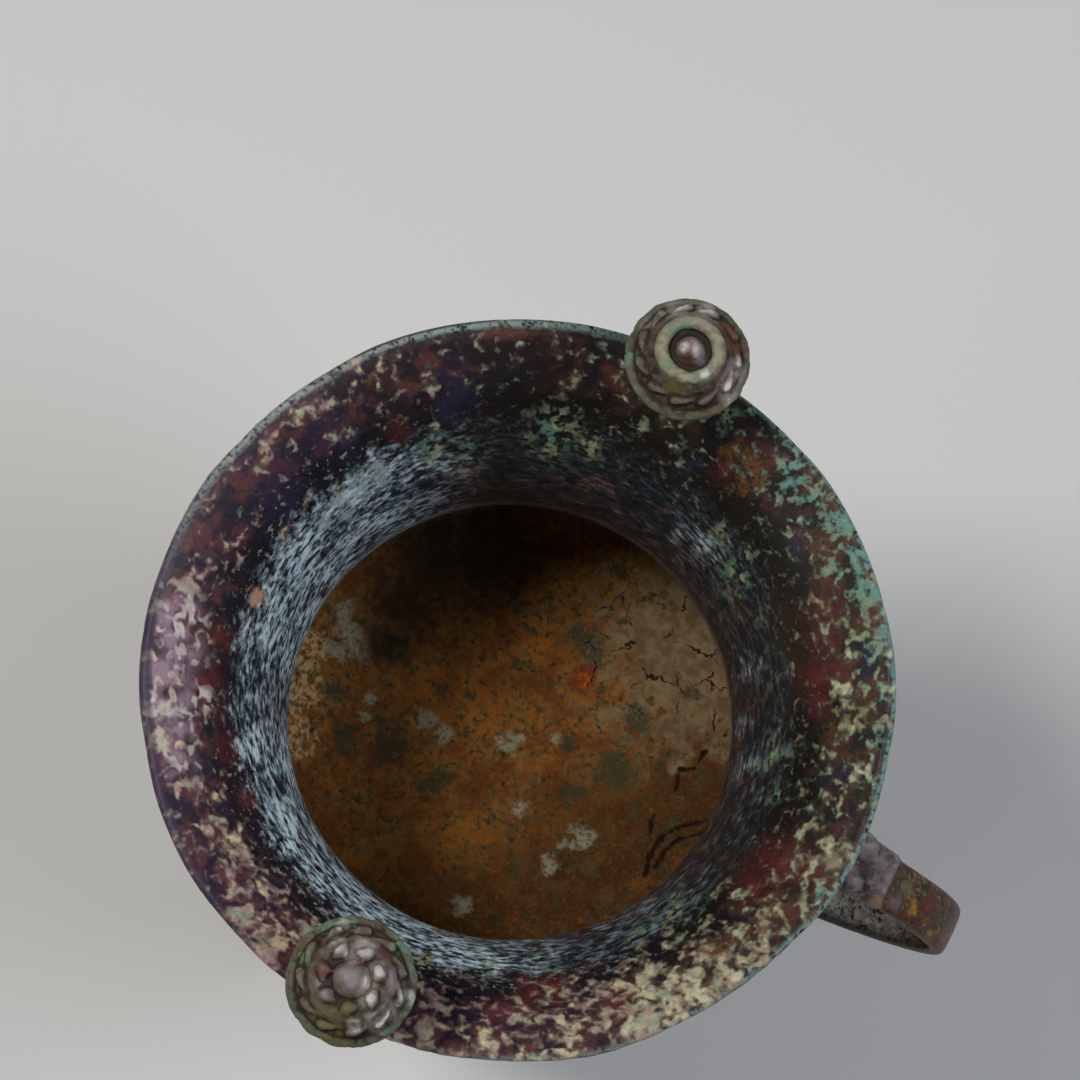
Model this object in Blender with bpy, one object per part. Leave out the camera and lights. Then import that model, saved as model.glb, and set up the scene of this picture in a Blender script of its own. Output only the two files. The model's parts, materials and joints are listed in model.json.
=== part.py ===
"""Bronze wine vessel on three legs, with a flared round mouth, two capped posts and a strap handle.

Metres, +Z up. The vessel stands on its feet at z = 0. The handle points along +X, and the origin is
the middle of the footprint of the whole vessel, so the vessel's own axis stands a little towards -X.
"""

import math

import bmesh
import bpy
from mathutils import Matrix, Vector

# Driving sizes of the pot
RIM_HEIGHT = 0.250
MOUTH_RADIUS = 0.092
NECK_RADIUS = 0.0579
NECK_HEIGHT = 0.190
BELLY_RADIUS = 0.0740
BELLY_HEIGHT = 0.140
FLOOR_HEIGHT = 0.100
WALL = 0.0028
FLOOR_WALL = 0.0040

# How the mouth flares: the share of a quarter turn that the trumpet curve reaches at the lip
FLARE_TURN = math.radians(62)
LIP_ROLL = 0.0022
BOWL_SQUARENESS = 2.6

# Raised cords cast round the neck and round the frieze on the belly
CORD_HEIGHT = 0.0011
CORD_HALF_WIDTH = 0.0014
NECK_CORDS = 3
NECK_CORD_PITCH = 0.0068
FRIEZE_HALF_HEIGHT = 0.0150

# Whorl roundels in the frieze
ROUNDEL_PLACES = 12
ROUNDEL_RADIUS = 0.0098
ROUNDEL_RISE = 0.0013

# Posts on the lip, across from each other, a little off square to the handle
POST_LINE_TURN = math.radians(87.8)
POST_RADIUS_FROM_AXIS = 0.0848
POST_WIDTH = 0.0086
POST_CORNER = 0.62
# Shares of its width that a post has at its foot and under its cap, and how far up it has thinned
POST_FOOT = 1.12
POST_TOP = 0.82
POST_TAPER_END = 0.77
CAP_BASE_ABOVE_RIM = 0.0235
CAP_RADIUS = 0.0152
CAP_HEIGHT = 0.0145
CAP_LOBES = 6
CAP_LOBE_LENGTH = 0.0052
CAP_LOBE_WIDTH = 0.0029
CAP_LOBE_START = math.radians(7)

# Strap handle
HANDLE_REACH = 0.1276
HANDLE_TOP = 0.2322
HANDLE_BOTTOM = 0.1404
HANDLE_BEND_HEIGHT = 0.1880
HANDLE_UPPER_SQUARENESS = 1.75
HANDLE_LOWER_SQUARENESS = 1.68
STRAP_WIDTH = 0.0138
STRAP_THICKNESS = 0.0040

# Ox head on top of the handle
HEAD_BACK = 0.0765
HEAD_FRONT = 0.1065
HEAD_HALF_WIDTH = 0.0094
HEAD_RISE = 0.0060
EYE_RADIUS = 0.0023
HORN_RADIUS = 0.0015
HORN_CURL = 0.0034
# Where they sit, as shares of the head's length, of its half width and of its rise
EYE_PLACE = (0.56, 0.66, 0.62)
NOSTRIL_PLACE = (0.93, 0.55, 0.34)
HORN_PLACE = 0.34
HORN_SINK = 0.10
HORN_DROP = 0.38

# Legs
LEG_ROOT_RADIUS_FROM_AXIS = 0.0575
LEG_FOOT_RADIUS_FROM_AXIS = 0.0795
LEG_ROOT_WIDTH = 0.0330
LEG_FOOT_WIDTH = 0.0100
LEG_ROOT_DEPTH = 0.0270
LEG_FOOT_DEPTH = 0.0090
LEG_COUNT = 3
# How a leg thins and bows from its root to its foot: 1 is an even taper
LEG_TAPER = 1.25
LEG_BOW = 0.85

# Fineness of the solid. The facets start a little round from the handle, so that no edge of the pot
# runs along an edge of a form that is cast on to it
TURN_STEPS = 44
TURN_START = math.radians(1.7)
ROUNDEL_START = math.radians(11)
BRONZE_COLOUR = (0.115, 0.075, 0.055, 1.0)
BRONZE_ROUGHNESS = 0.55
BRONZE_METALLIC = 0.45

FRIEZE_HEIGHT = BELLY_HEIGHT + 0.04 * (NECK_HEIGHT - BELLY_HEIGHT)
AXIS_X = (MOUTH_RADIUS - HANDLE_REACH) / 2


def clear_scene():
    """Leaves the file empty, so that the vessel is all that is built."""
    for old in list(bpy.data.objects):
        bpy.data.objects.remove(old, do_unlink=True)


def bronze():
    """The cast bronze, dark with age."""
    material = bpy.data.materials.new("aged_bronze")
    material.use_nodes = True
    shader = material.node_tree.nodes["Principled BSDF"]
    shader.inputs["Base Color"].default_value = BRONZE_COLOUR
    shader.inputs["Roughness"].default_value = BRONZE_ROUGHNESS
    shader.inputs["Metallic"].default_value = BRONZE_METALLIC
    return material


# The pot's profile, as (radius, height) pairs


def bowl_points(radius, floor, steps):
    """The rounded bowl from its middle out to the widest line of the belly."""
    depth = BELLY_HEIGHT - floor
    points = []
    for i in range(steps + 1):
        turn = math.pi / 2 * i / steps
        out = math.sin(turn) ** (2 / BOWL_SQUARENESS)
        down = math.cos(turn) ** (2 / BOWL_SQUARENESS)
        points.append((radius * out, BELLY_HEIGHT - depth * down))
    return points


def shoulder_points(belly, neck, steps):
    """The easy S from the belly up to the narrow neck, without its first point."""
    points = []
    for i in range(1, steps + 1):
        share = i / steps
        radius = neck + (belly - neck) * (1 + math.cos(math.pi * share)) / 2
        points.append((radius, BELLY_HEIGHT + (NECK_HEIGHT - BELLY_HEIGHT) * share))
    return points


def flare_point(neck, lip, top, turn):
    """A point of the trumpet curve, turn 0 at the neck and FLARE_TURN at the lip."""
    across = (lip - neck) / (1 - math.cos(FLARE_TURN))
    up = (top - NECK_HEIGHT) / math.sin(FLARE_TURN)
    return neck + across * (1 - math.cos(turn)), NECK_HEIGHT + up * math.sin(turn)


def inner_flare(turn):
    return flare_point(NECK_RADIUS, MOUTH_RADIUS - LIP_ROLL, RIM_HEIGHT, turn)


def outer_flare(turn):
    """The underside of the flare: the inner curve set off by the wall."""
    radius, height = inner_flare(turn)
    step = 1e-4
    ahead = inner_flare(turn + step)
    behind = inner_flare(turn - step)
    along = Vector((ahead[0] - behind[0], ahead[1] - behind[1])).normalized()
    return radius + WALL * along.y, height - WALL * along.x


def lip_points():
    """The rounded edge of the lip, from the inner face over to the underside."""
    inner = Vector(inner_flare(FLARE_TURN))
    outer = Vector(outer_flare(FLARE_TURN))
    middle = (inner + outer) / 2
    half = (inner - outer) / 2
    outward = Vector((half.y, -half.x))
    reach = math.sqrt((MOUTH_RADIUS - middle.x) ** 2 - half.x ** 2)
    forward = outward * (reach / outward.x)
    points = []
    for turn in (math.radians(45), math.radians(90), math.radians(135)):
        points.append(tuple(middle + half * math.cos(turn) + forward * math.sin(turn)))
    return points


def cord_points(height, radius):
    """A raised cord round the outside, drawn from above down."""
    points = []
    for share, rise in ((1.0, 0.0), (0.0, CORD_HEIGHT), (-1.0, 0.0)):
        level = height + CORD_HALF_WIDTH * share
        points.append((radius(level) + rise, level))
    return points


def interpolated(points):
    """radius(height) along a list of (radius, height) that runs steadily upwards."""

    def radius(height):
        if height <= points[0][1]:
            return points[0][0]
        for (r0, z0), (r1, z1) in zip(points, points[1:]):
            if z0 <= height <= z1:
                return r0 + (r1 - r0) * (height - z0) / (z1 - z0)
        return points[-1][0]

    return radius


def outer_side():
    """The plain outside from the belly's widest line up to the lip."""
    points = [(BELLY_RADIUS + WALL, BELLY_HEIGHT)]
    points += shoulder_points(BELLY_RADIUS + WALL, NECK_RADIUS + WALL, 24)
    points += [outer_flare(FLARE_TURN * i / 24) for i in range(1, 25)]
    return sorted(points, key=lambda point: point[1])


def outer_bowl():
    return bowl_points(BELLY_RADIUS + WALL, FLOOR_HEIGHT - FLOOR_WALL, 24)


outside_radius = interpolated(outer_side())
underside_radius = interpolated(outer_bowl())


def body_radius(height):
    """Outside radius of the pot at a height, without the raised cords."""
    if height < BELLY_HEIGHT:
        return underside_radius(height)
    return outside_radius(height)


def cord_levels():
    """Heights of the raised cords: the neck's, and one above and one below the frieze."""
    middle = (NECK_CORDS - 1) / 2
    neck = [NECK_HEIGHT + NECK_CORD_PITCH * (i - middle) for i in range(NECK_CORDS)]
    frieze = [FRIEZE_HEIGHT - FRIEZE_HALF_HEIGHT, FRIEZE_HEIGHT + FRIEZE_HALF_HEIGHT]
    return sorted(frieze + neck)


def pot_profile():
    """The closed half section of the pot, from the middle of its floor round the lip to the underside."""
    inside = bowl_points(BELLY_RADIUS, FLOOR_HEIGHT, 6)
    inside += shoulder_points(BELLY_RADIUS, NECK_RADIUS, 5)
    inside += [inner_flare(FLARE_TURN * i / 7) for i in range(1, 8)]
    plain = [outer_flare(FLARE_TURN * i / 6) for i in range(6, -1, -1)]
    plain += shoulder_points(BELLY_RADIUS + WALL, NECK_RADIUS + WALL, 5)[-2::-1]
    plain += bowl_points(BELLY_RADIUS + WALL, FLOOR_HEIGHT - FLOOR_WALL, 7)[::-1]
    cords = []
    for level in cord_levels():
        cords += cord_points(level, body_radius)
    clear = CORD_HALF_WIDTH * 1.6
    kept = [p for p in plain if all(abs(p[1] - level) > clear for level in cord_levels())]
    outside = sorted(kept + cords, key=lambda point: (-point[1], -point[0]))
    return inside + lip_points() + outside


# Mesh makers


def finished(name, mesh_data, smooth_angle=math.radians(35)):
    """Turns a bmesh into an object, with its faces pointing out and round parts smooth."""
    bmesh.ops.recalc_face_normals(mesh_data, faces=mesh_data.faces)
    mesh = bpy.data.meshes.new(name)
    mesh_data.to_mesh(mesh)
    mesh_data.free()
    mesh.shade_smooth()
    mesh.set_sharp_from_angle(angle=smooth_angle)
    thing = bpy.data.objects.new(name, mesh)
    bpy.context.scene.collection.objects.link(thing)
    return thing


def turned(name, profile, steps):
    """A solid of revolution round Z. The profile starts and ends on the axis."""
    shape = bmesh.new()
    points = [shape.verts.new((radius, 0, height)) for radius, height in profile]
    edges = [shape.edges.new(pair) for pair in zip(points, points[1:])]
    bmesh.ops.spin(
        shape,
        geom=points + edges,
        cent=(0, 0, 0),
        axis=(0, 0, 1),
        angle=2 * math.pi,
        steps=steps,
        use_merge=True,
    )
    bmesh.ops.remove_doubles(shape, verts=shape.verts, dist=1e-6)
    return finished(name, shape)


def lofted(name, rings):
    """A closed solid through rings of points, each ring with as many points as the last."""
    shape = bmesh.new()
    loops = [[shape.verts.new(point) for point in ring] for ring in rings]
    count = len(loops[0])
    for low, high in zip(loops, loops[1:]):
        for i in range(count):
            j = (i + 1) % count
            shape.faces.new((low[i], low[j], high[j], high[i]))
    shape.faces.new(loops[0][::-1])
    shape.faces.new(loops[-1])
    return finished(name, shape)


def round_ring(centre, across, up, radius, steps):
    """A ring of points about a centre, in the plane of two directions."""
    turns = [2 * math.pi * i / steps for i in range(steps)]
    return [centre + across * radius * math.cos(t) + up * radius * math.sin(t) for t in turns]


def at_axis(thing, turn=0.0):
    """Stands a form on the vessel's axis, turned about it."""
    thing.matrix_world = Matrix.Translation((AXIS_X, 0, 0)) @ Matrix.Rotation(turn, 4, "Z")
    return thing


# Legs

wall_middle_radius = interpolated(
    bowl_points(BELLY_RADIUS + WALL / 2, FLOOR_HEIGHT - FLOOR_WALL / 2, 40)
)


def crossing(low, high, is_low):
    """The value between low and high where is_low stops holding."""
    for _ in range(40):
        middle = (low + high) / 2
        low, high = (middle, high) if is_low(middle) else (low, middle)
    return (low + high) / 2


def wall_middle_height(radius):
    """Height of the middle of the bowl's wall at a radius from the axis."""
    bottom = FLOOR_HEIGHT - FLOOR_WALL / 2
    return crossing(bottom, BELLY_HEIGHT, lambda height: wall_middle_radius(height) < radius)


# Half outline of a leg's section as shares of its depth outwards and of its width
LEG_SECTION = ((0.45, 0.0), (0.40, 0.38), (0.30, 0.50), (0.14, 0.46), (-0.54, 0.13), (-0.60, 0.0))


def leg_ring(middle, depth, width):
    """The leg's section, three-sided with softened corners, its flat face outwards."""
    side = [(middle + out * depth, across * width) for out, across in LEG_SECTION]
    return side + [(x, -y) for x, y in side[-2:0:-1]]


def leg(name, turn):
    """A splayed, tapering leg, rooted in the middle of the bowl's wall."""
    levels = 6
    span = LEG_FOOT_RADIUS_FROM_AXIS - LEG_ROOT_RADIUS_FROM_AXIS
    top = wall_middle_height(LEG_ROOT_RADIUS_FROM_AXIS)
    rings = []
    for i in range(levels + 1):
        share = i / levels
        thickening = share ** LEG_TAPER
        width = LEG_FOOT_WIDTH + (LEG_ROOT_WIDTH - LEG_FOOT_WIDTH) * thickening
        depth = LEG_FOOT_DEPTH + (LEG_ROOT_DEPTH - LEG_FOOT_DEPTH) * thickening
        middle = LEG_FOOT_RADIUS_FROM_AXIS - span * share ** LEG_BOW
        outline = leg_ring(middle, depth, width)
        if i < levels:
            rings.append([Vector((x, y, top * share * 0.94)) for x, y in outline])
    for shrink in (1.0, 0.6, 0.25):
        ring = []
        for x, y in outline:
            x = middle + (x - middle) * shrink
            y = y * shrink
            ring.append(Vector((x, y, wall_middle_height(math.hypot(x, y)))))
        rings.append(ring)
    return at_axis(lofted(name, rings), turn)


# Handle


def handle_path(turn):
    """Middle line of the strap as (radius, height), a quarter turn up at its top, none at its bend."""
    start = NECK_RADIUS + WALL / 2
    reach = HANDLE_REACH - STRAP_THICKNESS / 2 - start
    if turn > 0:
        squareness = HANDLE_UPPER_SQUARENESS
        lift = HANDLE_TOP - STRAP_THICKNESS / 2 - HANDLE_BEND_HEIGHT
    else:
        squareness = HANDLE_LOWER_SQUARENESS
        lift = HANDLE_BOTTOM + STRAP_THICKNESS / 2 - HANDLE_BEND_HEIGHT
    across = abs(math.cos(turn)) ** (2 / squareness)
    up = abs(math.sin(turn)) ** (2 / squareness)
    return Vector((start + reach * across, HANDLE_BEND_HEIGHT + lift * up))


def root_turn(quarter):
    """How far round the handle's path goes before it reaches the middle of the pot's wall."""

    def outside(turn):
        radius, height = handle_path(turn)
        return radius > body_radius(height) - WALL / 2

    return crossing(0, quarter, outside)


def strap_ring(centre, along):
    """The strap's section, slightly crowned on its outer face, square to its path."""
    half_width, half = STRAP_WIDTH / 2, STRAP_THICKNESS / 2
    outward = Vector((-along.y, along.x))
    side = [(0.55, 1.0), (0.92, 0.75), (1.0, 0.0), (0.92, -1.0)]
    section = side + [(-across, out) for across, out in side[::-1]]
    ring = []
    for across, out in section:
        place = centre + outward * (out * half)
        ring.append(Vector((place.x, across * half_width, place.y)))
    return ring


def handle():
    """The strap, from the neck round the finger loop to the belly, its ends inside the wall."""
    top, bottom = root_turn(math.pi / 2), root_turn(-math.pi / 2)
    steps = 20
    small = 0.01
    rings = []
    for i in range(steps + 1):
        turn = top + (bottom - top) * i / steps
        along = (handle_path(turn - small) - handle_path(turn + small)).normalized()
        if i in (0, steps):
            along = Vector((1, 0)) if i == 0 else Vector((-1, 0))
        ring = strap_ring(handle_path(turn), along)
        if i in (0, steps):
            for point in ring:
                point.x = math.sqrt((body_radius(point.z) - WALL / 2) ** 2 - point.y ** 2)
        rings.append(ring)
    return at_axis(lofted("strap", rings))


def arm_height(radius):
    """Height of the strap's middle line on its upper arm at a radius from the axis."""
    return handle_path(crossing(0, math.pi / 2, lambda turn: handle_path(turn).x > radius)).y


def head_at(share):
    """Radius, and height of the strap's middle line, at a share of the head's length."""
    radius = HEAD_BACK + (HEAD_FRONT - HEAD_BACK) * share
    return radius, arm_height(radius)


# The ox head's stations from its back to its muzzle: share of its length, of its width and of its rise
HEAD_STATIONS = (
    (0.00, 0.80, 0.40), (0.16, 0.98, 0.85), (0.40, 1.00, 1.00),
    (0.62, 0.87, 0.86), (0.86, 0.86, 0.66), (1.00, 0.92, 0.52),
)
HEAD_SECTION = ((1.0, 0.0), (0.98, 0.45), (0.70, 0.80), (0.26, 0.90), (0.0, 1.0))


def ox_head():
    """The ox head that the strap comes out of, widest at its brow, with a ridge down to its muzzle."""
    section = list(HEAD_SECTION) + [(-side, up) for side, up in HEAD_SECTION[-2::-1]]
    rings = []
    for share, wide, high in HEAD_STATIONS:
        radius, base = head_at(share)
        half = HEAD_HALF_WIDTH * wide
        rise = STRAP_THICKNESS / 2 + HEAD_RISE * high
        rings.append([Vector((radius, half * side, base + rise * up)) for side, up in section])
    return at_axis(lofted("ox_head", rings))


def bead(name, centre, radii):
    """A small rounded swelling of the casting."""
    shape = bmesh.new()
    bmesh.ops.create_icosphere(shape, subdivisions=2, radius=1.0)
    for point in shape.verts:
        point.co = Vector([point.co[i] * radii[i] for i in range(3)]) + centre
    return at_axis(finished(name, shape))


def horn(side):
    """A horn that curls back and out over the crown."""
    radius, base = head_at(HORN_PLACE)
    top = base + STRAP_THICKNESS / 2 + HEAD_RISE * (1 - HORN_SINK)
    rings = []
    steps = 7
    for i in range(steps + 1):
        turn = math.radians(215) * i / steps
        thin = HORN_RADIUS * (1.0 - 0.62 * i / steps)
        centre = Vector((
            radius - HORN_CURL * math.sin(turn),
            side * (HORN_RADIUS * 1.3 + HORN_CURL * (1 - math.cos(turn))),
            top - HEAD_RISE * HORN_DROP * i / steps,
        ))
        out = Vector((math.sin(turn), side * math.cos(turn), 0))
        rings.append(round_ring(centre, out, Vector((0, 0, 1)), thin, 6))
    return at_axis(lofted("horn", rings))


def on_head(place, side):
    """A point on the head, from its shares along, across and up."""
    along, across, up = place
    radius, base = head_at(along)
    return Vector((radius, side * HEAD_HALF_WIDTH * across, base + STRAP_THICKNESS / 2 + HEAD_RISE * up))


def head_details():
    """Eyes, nostrils and horns, in mirrored pairs."""
    parts = []
    for side in (-1, 1):
        eye = (EYE_RADIUS * 1.3, EYE_RADIUS, EYE_RADIUS)
        parts.append(bead("eye", on_head(EYE_PLACE, side), eye))
        nostril = (EYE_RADIUS, EYE_RADIUS * 1.2, EYE_RADIUS * 0.8)
        parts.append(bead("nostril", on_head(NOSTRIL_PLACE, side), nostril))
        parts.append(horn(side))
    return parts


# Posts and caps


def lip_middle_height(radius):
    """Height of the middle of the wall of the flare at a radius."""

    def inwards(turn):
        return (inner_flare(turn)[0] + outer_flare(turn)[0]) / 2 < radius

    turn = crossing(0, FLARE_TURN, inwards)
    return (inner_flare(turn)[1] + outer_flare(turn)[1]) / 2


def post(name, turn):
    """A square post with softened corners, rooted in the lip and thinner at the top."""
    half = POST_WIDTH / 2
    outline = []
    for sx, sy in ((1, 1), (-1, 1), (-1, -1), (1, -1)):
        pair = [(sx * half, sy * half * POST_CORNER), (sx * half * POST_CORNER, sy * half)]
        outline += pair if sx * sy > 0 else pair[::-1]
    cap_base = RIM_HEIGHT + CAP_BASE_ABOVE_RIM
    rings = []
    for share in (0, 0.34, 0.7, 1):
        size = POST_FOOT - (POST_FOOT - POST_TOP) * min(1, share / POST_TAPER_END)
        ring = []
        for x, y in outline:
            place = Vector((POST_RADIUS_FROM_AXIS + x * size, y * size, 0))
            foot = lip_middle_height(math.hypot(place.x, place.y))
            place.z = foot + (cap_base + CAP_HEIGHT * 0.2 - foot) * share
            ring.append(place)
        rings.append(ring)
    return at_axis(lofted(name, rings), turn)


def cap_profile():
    """Section of a cap: a thin flange, a cone with a raised ring, and a knob in the hollow of the ring."""
    shares = (
        (0.00, 0.03), (1.00, 0.00), (1.00, 0.10), (0.93, 0.17), (0.86, 0.19),
        (0.84, 0.30), (0.61, 0.60), (0.60, 0.70), (0.52, 0.74), (0.42, 0.71),
        (0.36, 0.62), (0.23, 0.64), (0.22, 0.86), (0.14, 0.97), (0.00, 1.00),
    )
    return [(CAP_RADIUS * radius, CAP_HEIGHT * height) for radius, height in shares]


def on_post(thing, turn, own_turn=0.0):
    """Places a form made about Z on top of a post, turned a little about the post."""
    thing.matrix_world = (
        Matrix.Translation((AXIS_X, 0, 0))
        @ Matrix.Rotation(turn, 4, "Z")
        @ Matrix.Translation((POST_RADIUS_FROM_AXIS, 0, RIM_HEIGHT + CAP_BASE_ABOVE_RIM))
        @ Matrix.Rotation(own_turn, 4, "Z")
    )
    return thing


def cap(name, turn):
    """A cap with its six whorl lobes, which curl round the cone between the ring and the flange."""
    parts = [on_post(turned(name, cap_profile(), 18), turn, TURN_START)]
    for i in range(CAP_LOBES):
        start = CAP_LOBE_START + 2 * math.pi * i / CAP_LOBES
        sweep = CAP_LOBE_LENGTH / (0.74 * CAP_RADIUS)
        rings = []
        steps = 3
        for k in range(steps + 1):
            share = k / steps
            around = start + sweep * share
            out = CAP_RADIUS * (0.76 - 0.05 * share)
            up = CAP_HEIGHT * (0.38 + 0.06 * share)
            radius = CAP_LOBE_WIDTH / 2 * (0.35 + math.sin(math.pi * (0.16 + 0.8 * share)))
            centre = Vector((out * math.cos(around), out * math.sin(around), up))
            across = Vector((math.cos(around), math.sin(around), 0))
            rings.append(round_ring(centre, across, Vector((0, 0, 1)), radius, 5))
        parts.append(on_post(lofted("whorl_lobe", rings), turn))
    return parts


# Frieze


def roundel(name, turn):
    """A whorl roundel of the frieze: a low disc with a raised border and a boss, on the belly's wall."""
    base = body_radius(FRIEZE_HEIGHT)
    sink = ROUNDEL_RADIUS ** 2 / base
    shares = (
        (0.0, None), (1.0, None), (1.0, 0.30), (0.90, 1.0), (0.78, 1.0),
        (0.70, 0.35), (0.34, 0.35), (0.26, 1.0), (0.0, 1.15),
    )
    profile = []
    for radius, rise in shares:
        height = -sink - WALL * 0.3 if rise is None else ROUNDEL_RISE * rise
        profile.append((ROUNDEL_RADIUS * radius, height))
    disc = turned(name, profile, 12)
    for point in disc.data.vertices:
        if point.co.z > 0:
            across = point.co.x * math.sin(ROUNDEL_START) + point.co.y * math.cos(ROUNDEL_START)
            point.co.z -= across ** 2 / (2 * base)
    disc.matrix_world = (
        Matrix.Translation((AXIS_X, 0, FRIEZE_HEIGHT))
        @ Matrix.Rotation(turn, 4, "Z")
        @ Matrix.Translation((base, 0, 0))
        @ Matrix.Rotation(math.pi / 2, 4, "Y")
        @ Matrix.Rotation(ROUNDEL_START, 4, "Z")
    )
    return disc


def cast_in_one(pot, forms):
    """Joins the forms to the pot with one Boolean union, as they came from one mould."""
    cast_on = bpy.data.collections.new("cast_on_forms")
    bpy.context.scene.collection.children.link(cast_on)
    for form in forms:
        bpy.context.scene.collection.objects.unlink(form)
        cast_on.objects.link(form)
        form.hide_render = True
        form.display_type = "WIRE"
    union = pot.modifiers.new("cast_in_one", "BOOLEAN")
    union.operation = "UNION"
    union.solver = "EXACT"
    union.operand_type = "COLLECTION"
    union.collection = cast_on


def build():
    clear_scene()
    pot = at_axis(turned("jia_vessel", pot_profile(), TURN_STEPS), TURN_START)
    pot.data.materials.append(bronze())
    forms = [leg(f"leg_{i}", 2 * math.pi * i / LEG_COUNT) for i in range(LEG_COUNT)]
    forms.append(handle())
    forms.append(ox_head())
    forms += head_details()
    for side, turn in (("a", POST_LINE_TURN), ("b", POST_LINE_TURN + math.pi)):
        forms.append(post(f"post_{side}", turn))
        forms += cap(f"cap_{side}", turn)
    for i in range(1, ROUNDEL_PLACES):
        forms.append(roundel(f"roundel_{i}", 2 * math.pi * i / ROUNDEL_PLACES))
    cast_in_one(pot, forms)


build()
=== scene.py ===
import json
import math

import bmesh
import bpy
import numpy as np
from mathutils import Matrix, Vector

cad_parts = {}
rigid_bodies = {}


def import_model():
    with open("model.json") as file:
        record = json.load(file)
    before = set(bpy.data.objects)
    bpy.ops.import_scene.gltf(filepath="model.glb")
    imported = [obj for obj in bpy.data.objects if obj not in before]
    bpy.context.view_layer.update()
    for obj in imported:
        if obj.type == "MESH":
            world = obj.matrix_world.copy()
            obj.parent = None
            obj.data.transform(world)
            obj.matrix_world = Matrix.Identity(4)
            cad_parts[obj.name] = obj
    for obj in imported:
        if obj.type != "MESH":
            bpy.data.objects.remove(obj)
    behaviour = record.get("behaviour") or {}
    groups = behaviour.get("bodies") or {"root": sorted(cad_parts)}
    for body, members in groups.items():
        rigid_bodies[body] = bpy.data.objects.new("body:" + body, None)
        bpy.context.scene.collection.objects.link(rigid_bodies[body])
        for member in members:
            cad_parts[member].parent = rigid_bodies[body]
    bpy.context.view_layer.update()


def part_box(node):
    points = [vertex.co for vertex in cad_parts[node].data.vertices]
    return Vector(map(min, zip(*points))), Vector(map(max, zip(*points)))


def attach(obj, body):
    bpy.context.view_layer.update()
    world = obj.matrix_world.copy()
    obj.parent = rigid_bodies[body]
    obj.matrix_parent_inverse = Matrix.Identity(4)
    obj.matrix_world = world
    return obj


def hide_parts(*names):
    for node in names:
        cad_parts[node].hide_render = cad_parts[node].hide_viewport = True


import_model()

lowest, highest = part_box("jia_vessel")

# The pot
# Bowl, neck and flared mouth are one turned form of leaded tin bronze, poured between a clay mould and a
# clay core, so the wall is even and every edge a little soft. The lip has been knocked since.

MOUTH_RADIUS = 0.092
RIM_HEIGHT = 0.25
NECK_RADIUS = 0.0579
NECK_HEIGHT = 0.19
BELLY_RADIUS = 0.074
BELLY_HEIGHT = 0.14
FLOOR_HEIGHT = 0.1
WALL = 0.0028
FLOOR_WALL = 0.004
FLARE_TURN = math.radians(62)
LIP_ROLL = 0.0022
LIP_GROOVE_IN = 0.0032
LIP_GROOVE_HALF_WIDTH = 0.0012
LIP_GROOVE_DEPTH = 0.00014
BOWL_SQUARENESS = 2.6
CORD_HEIGHT = 0.0011
CORD_HALF_WIDTH = 0.0015
NECK_CORD_PITCH = 0.0068
FRIEZE_HEIGHT = BELLY_HEIGHT + 0.04 * (NECK_HEIGHT - BELLY_HEIGHT)
FRIEZE_HALF_HEIGHT = 0.015
CORD_LEVELS = [NECK_HEIGHT + NECK_CORD_PITCH * i for i in (-1, 0, 1)]
CORD_LEVELS += [FRIEZE_HEIGHT + FRIEZE_HALF_HEIGHT * side for side in (-1, 1)]
POT_STEPS = 400
# Spacing of the mesh's rings: at the lip and on along the outside, then on the floor and in the throat
LIP_RINGS, FLARE_RINGS, CORD_RINGS, SHOULDER_RINGS, UNDER_RINGS = 0.0004, 0.0013, 0.0005, 0.0022, 0.0035
FLOOR_RINGS, THROAT_RINGS = 0.0021, 0.004
AXIS_X = lowest.x + MOUTH_RADIUS
# Marks on the skin are measured in millimetres
MM = 1000.0

# The photograph's own polar angle is measured from its right, and the handle lies this far round from there
HANDLE_TURN = math.radians(-25.7)
# Knocks and bulges of the lip: where, how wide (all degrees of the photograph's angle) and how far out
LIP_KNOCKS = (
    (130, 18, -0.0008), (49, 15, -0.0008), (304, 22, -0.001), (230, 16, -0.0005), (268, 12, -0.0003),
    (1, 12, 0.0005), (175, 14, 0.0005), (205, 12, 0.0003), (330, 14, 0.0004),
)
# Where the lip is rolled down: the same, and how far down
LIP_ROLLS = ((105, 30, 0.0013), (172, 30, 0.0009))
KNOCK_DEPTH = 0.03
ROLL_REACH = 0.005


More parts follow.
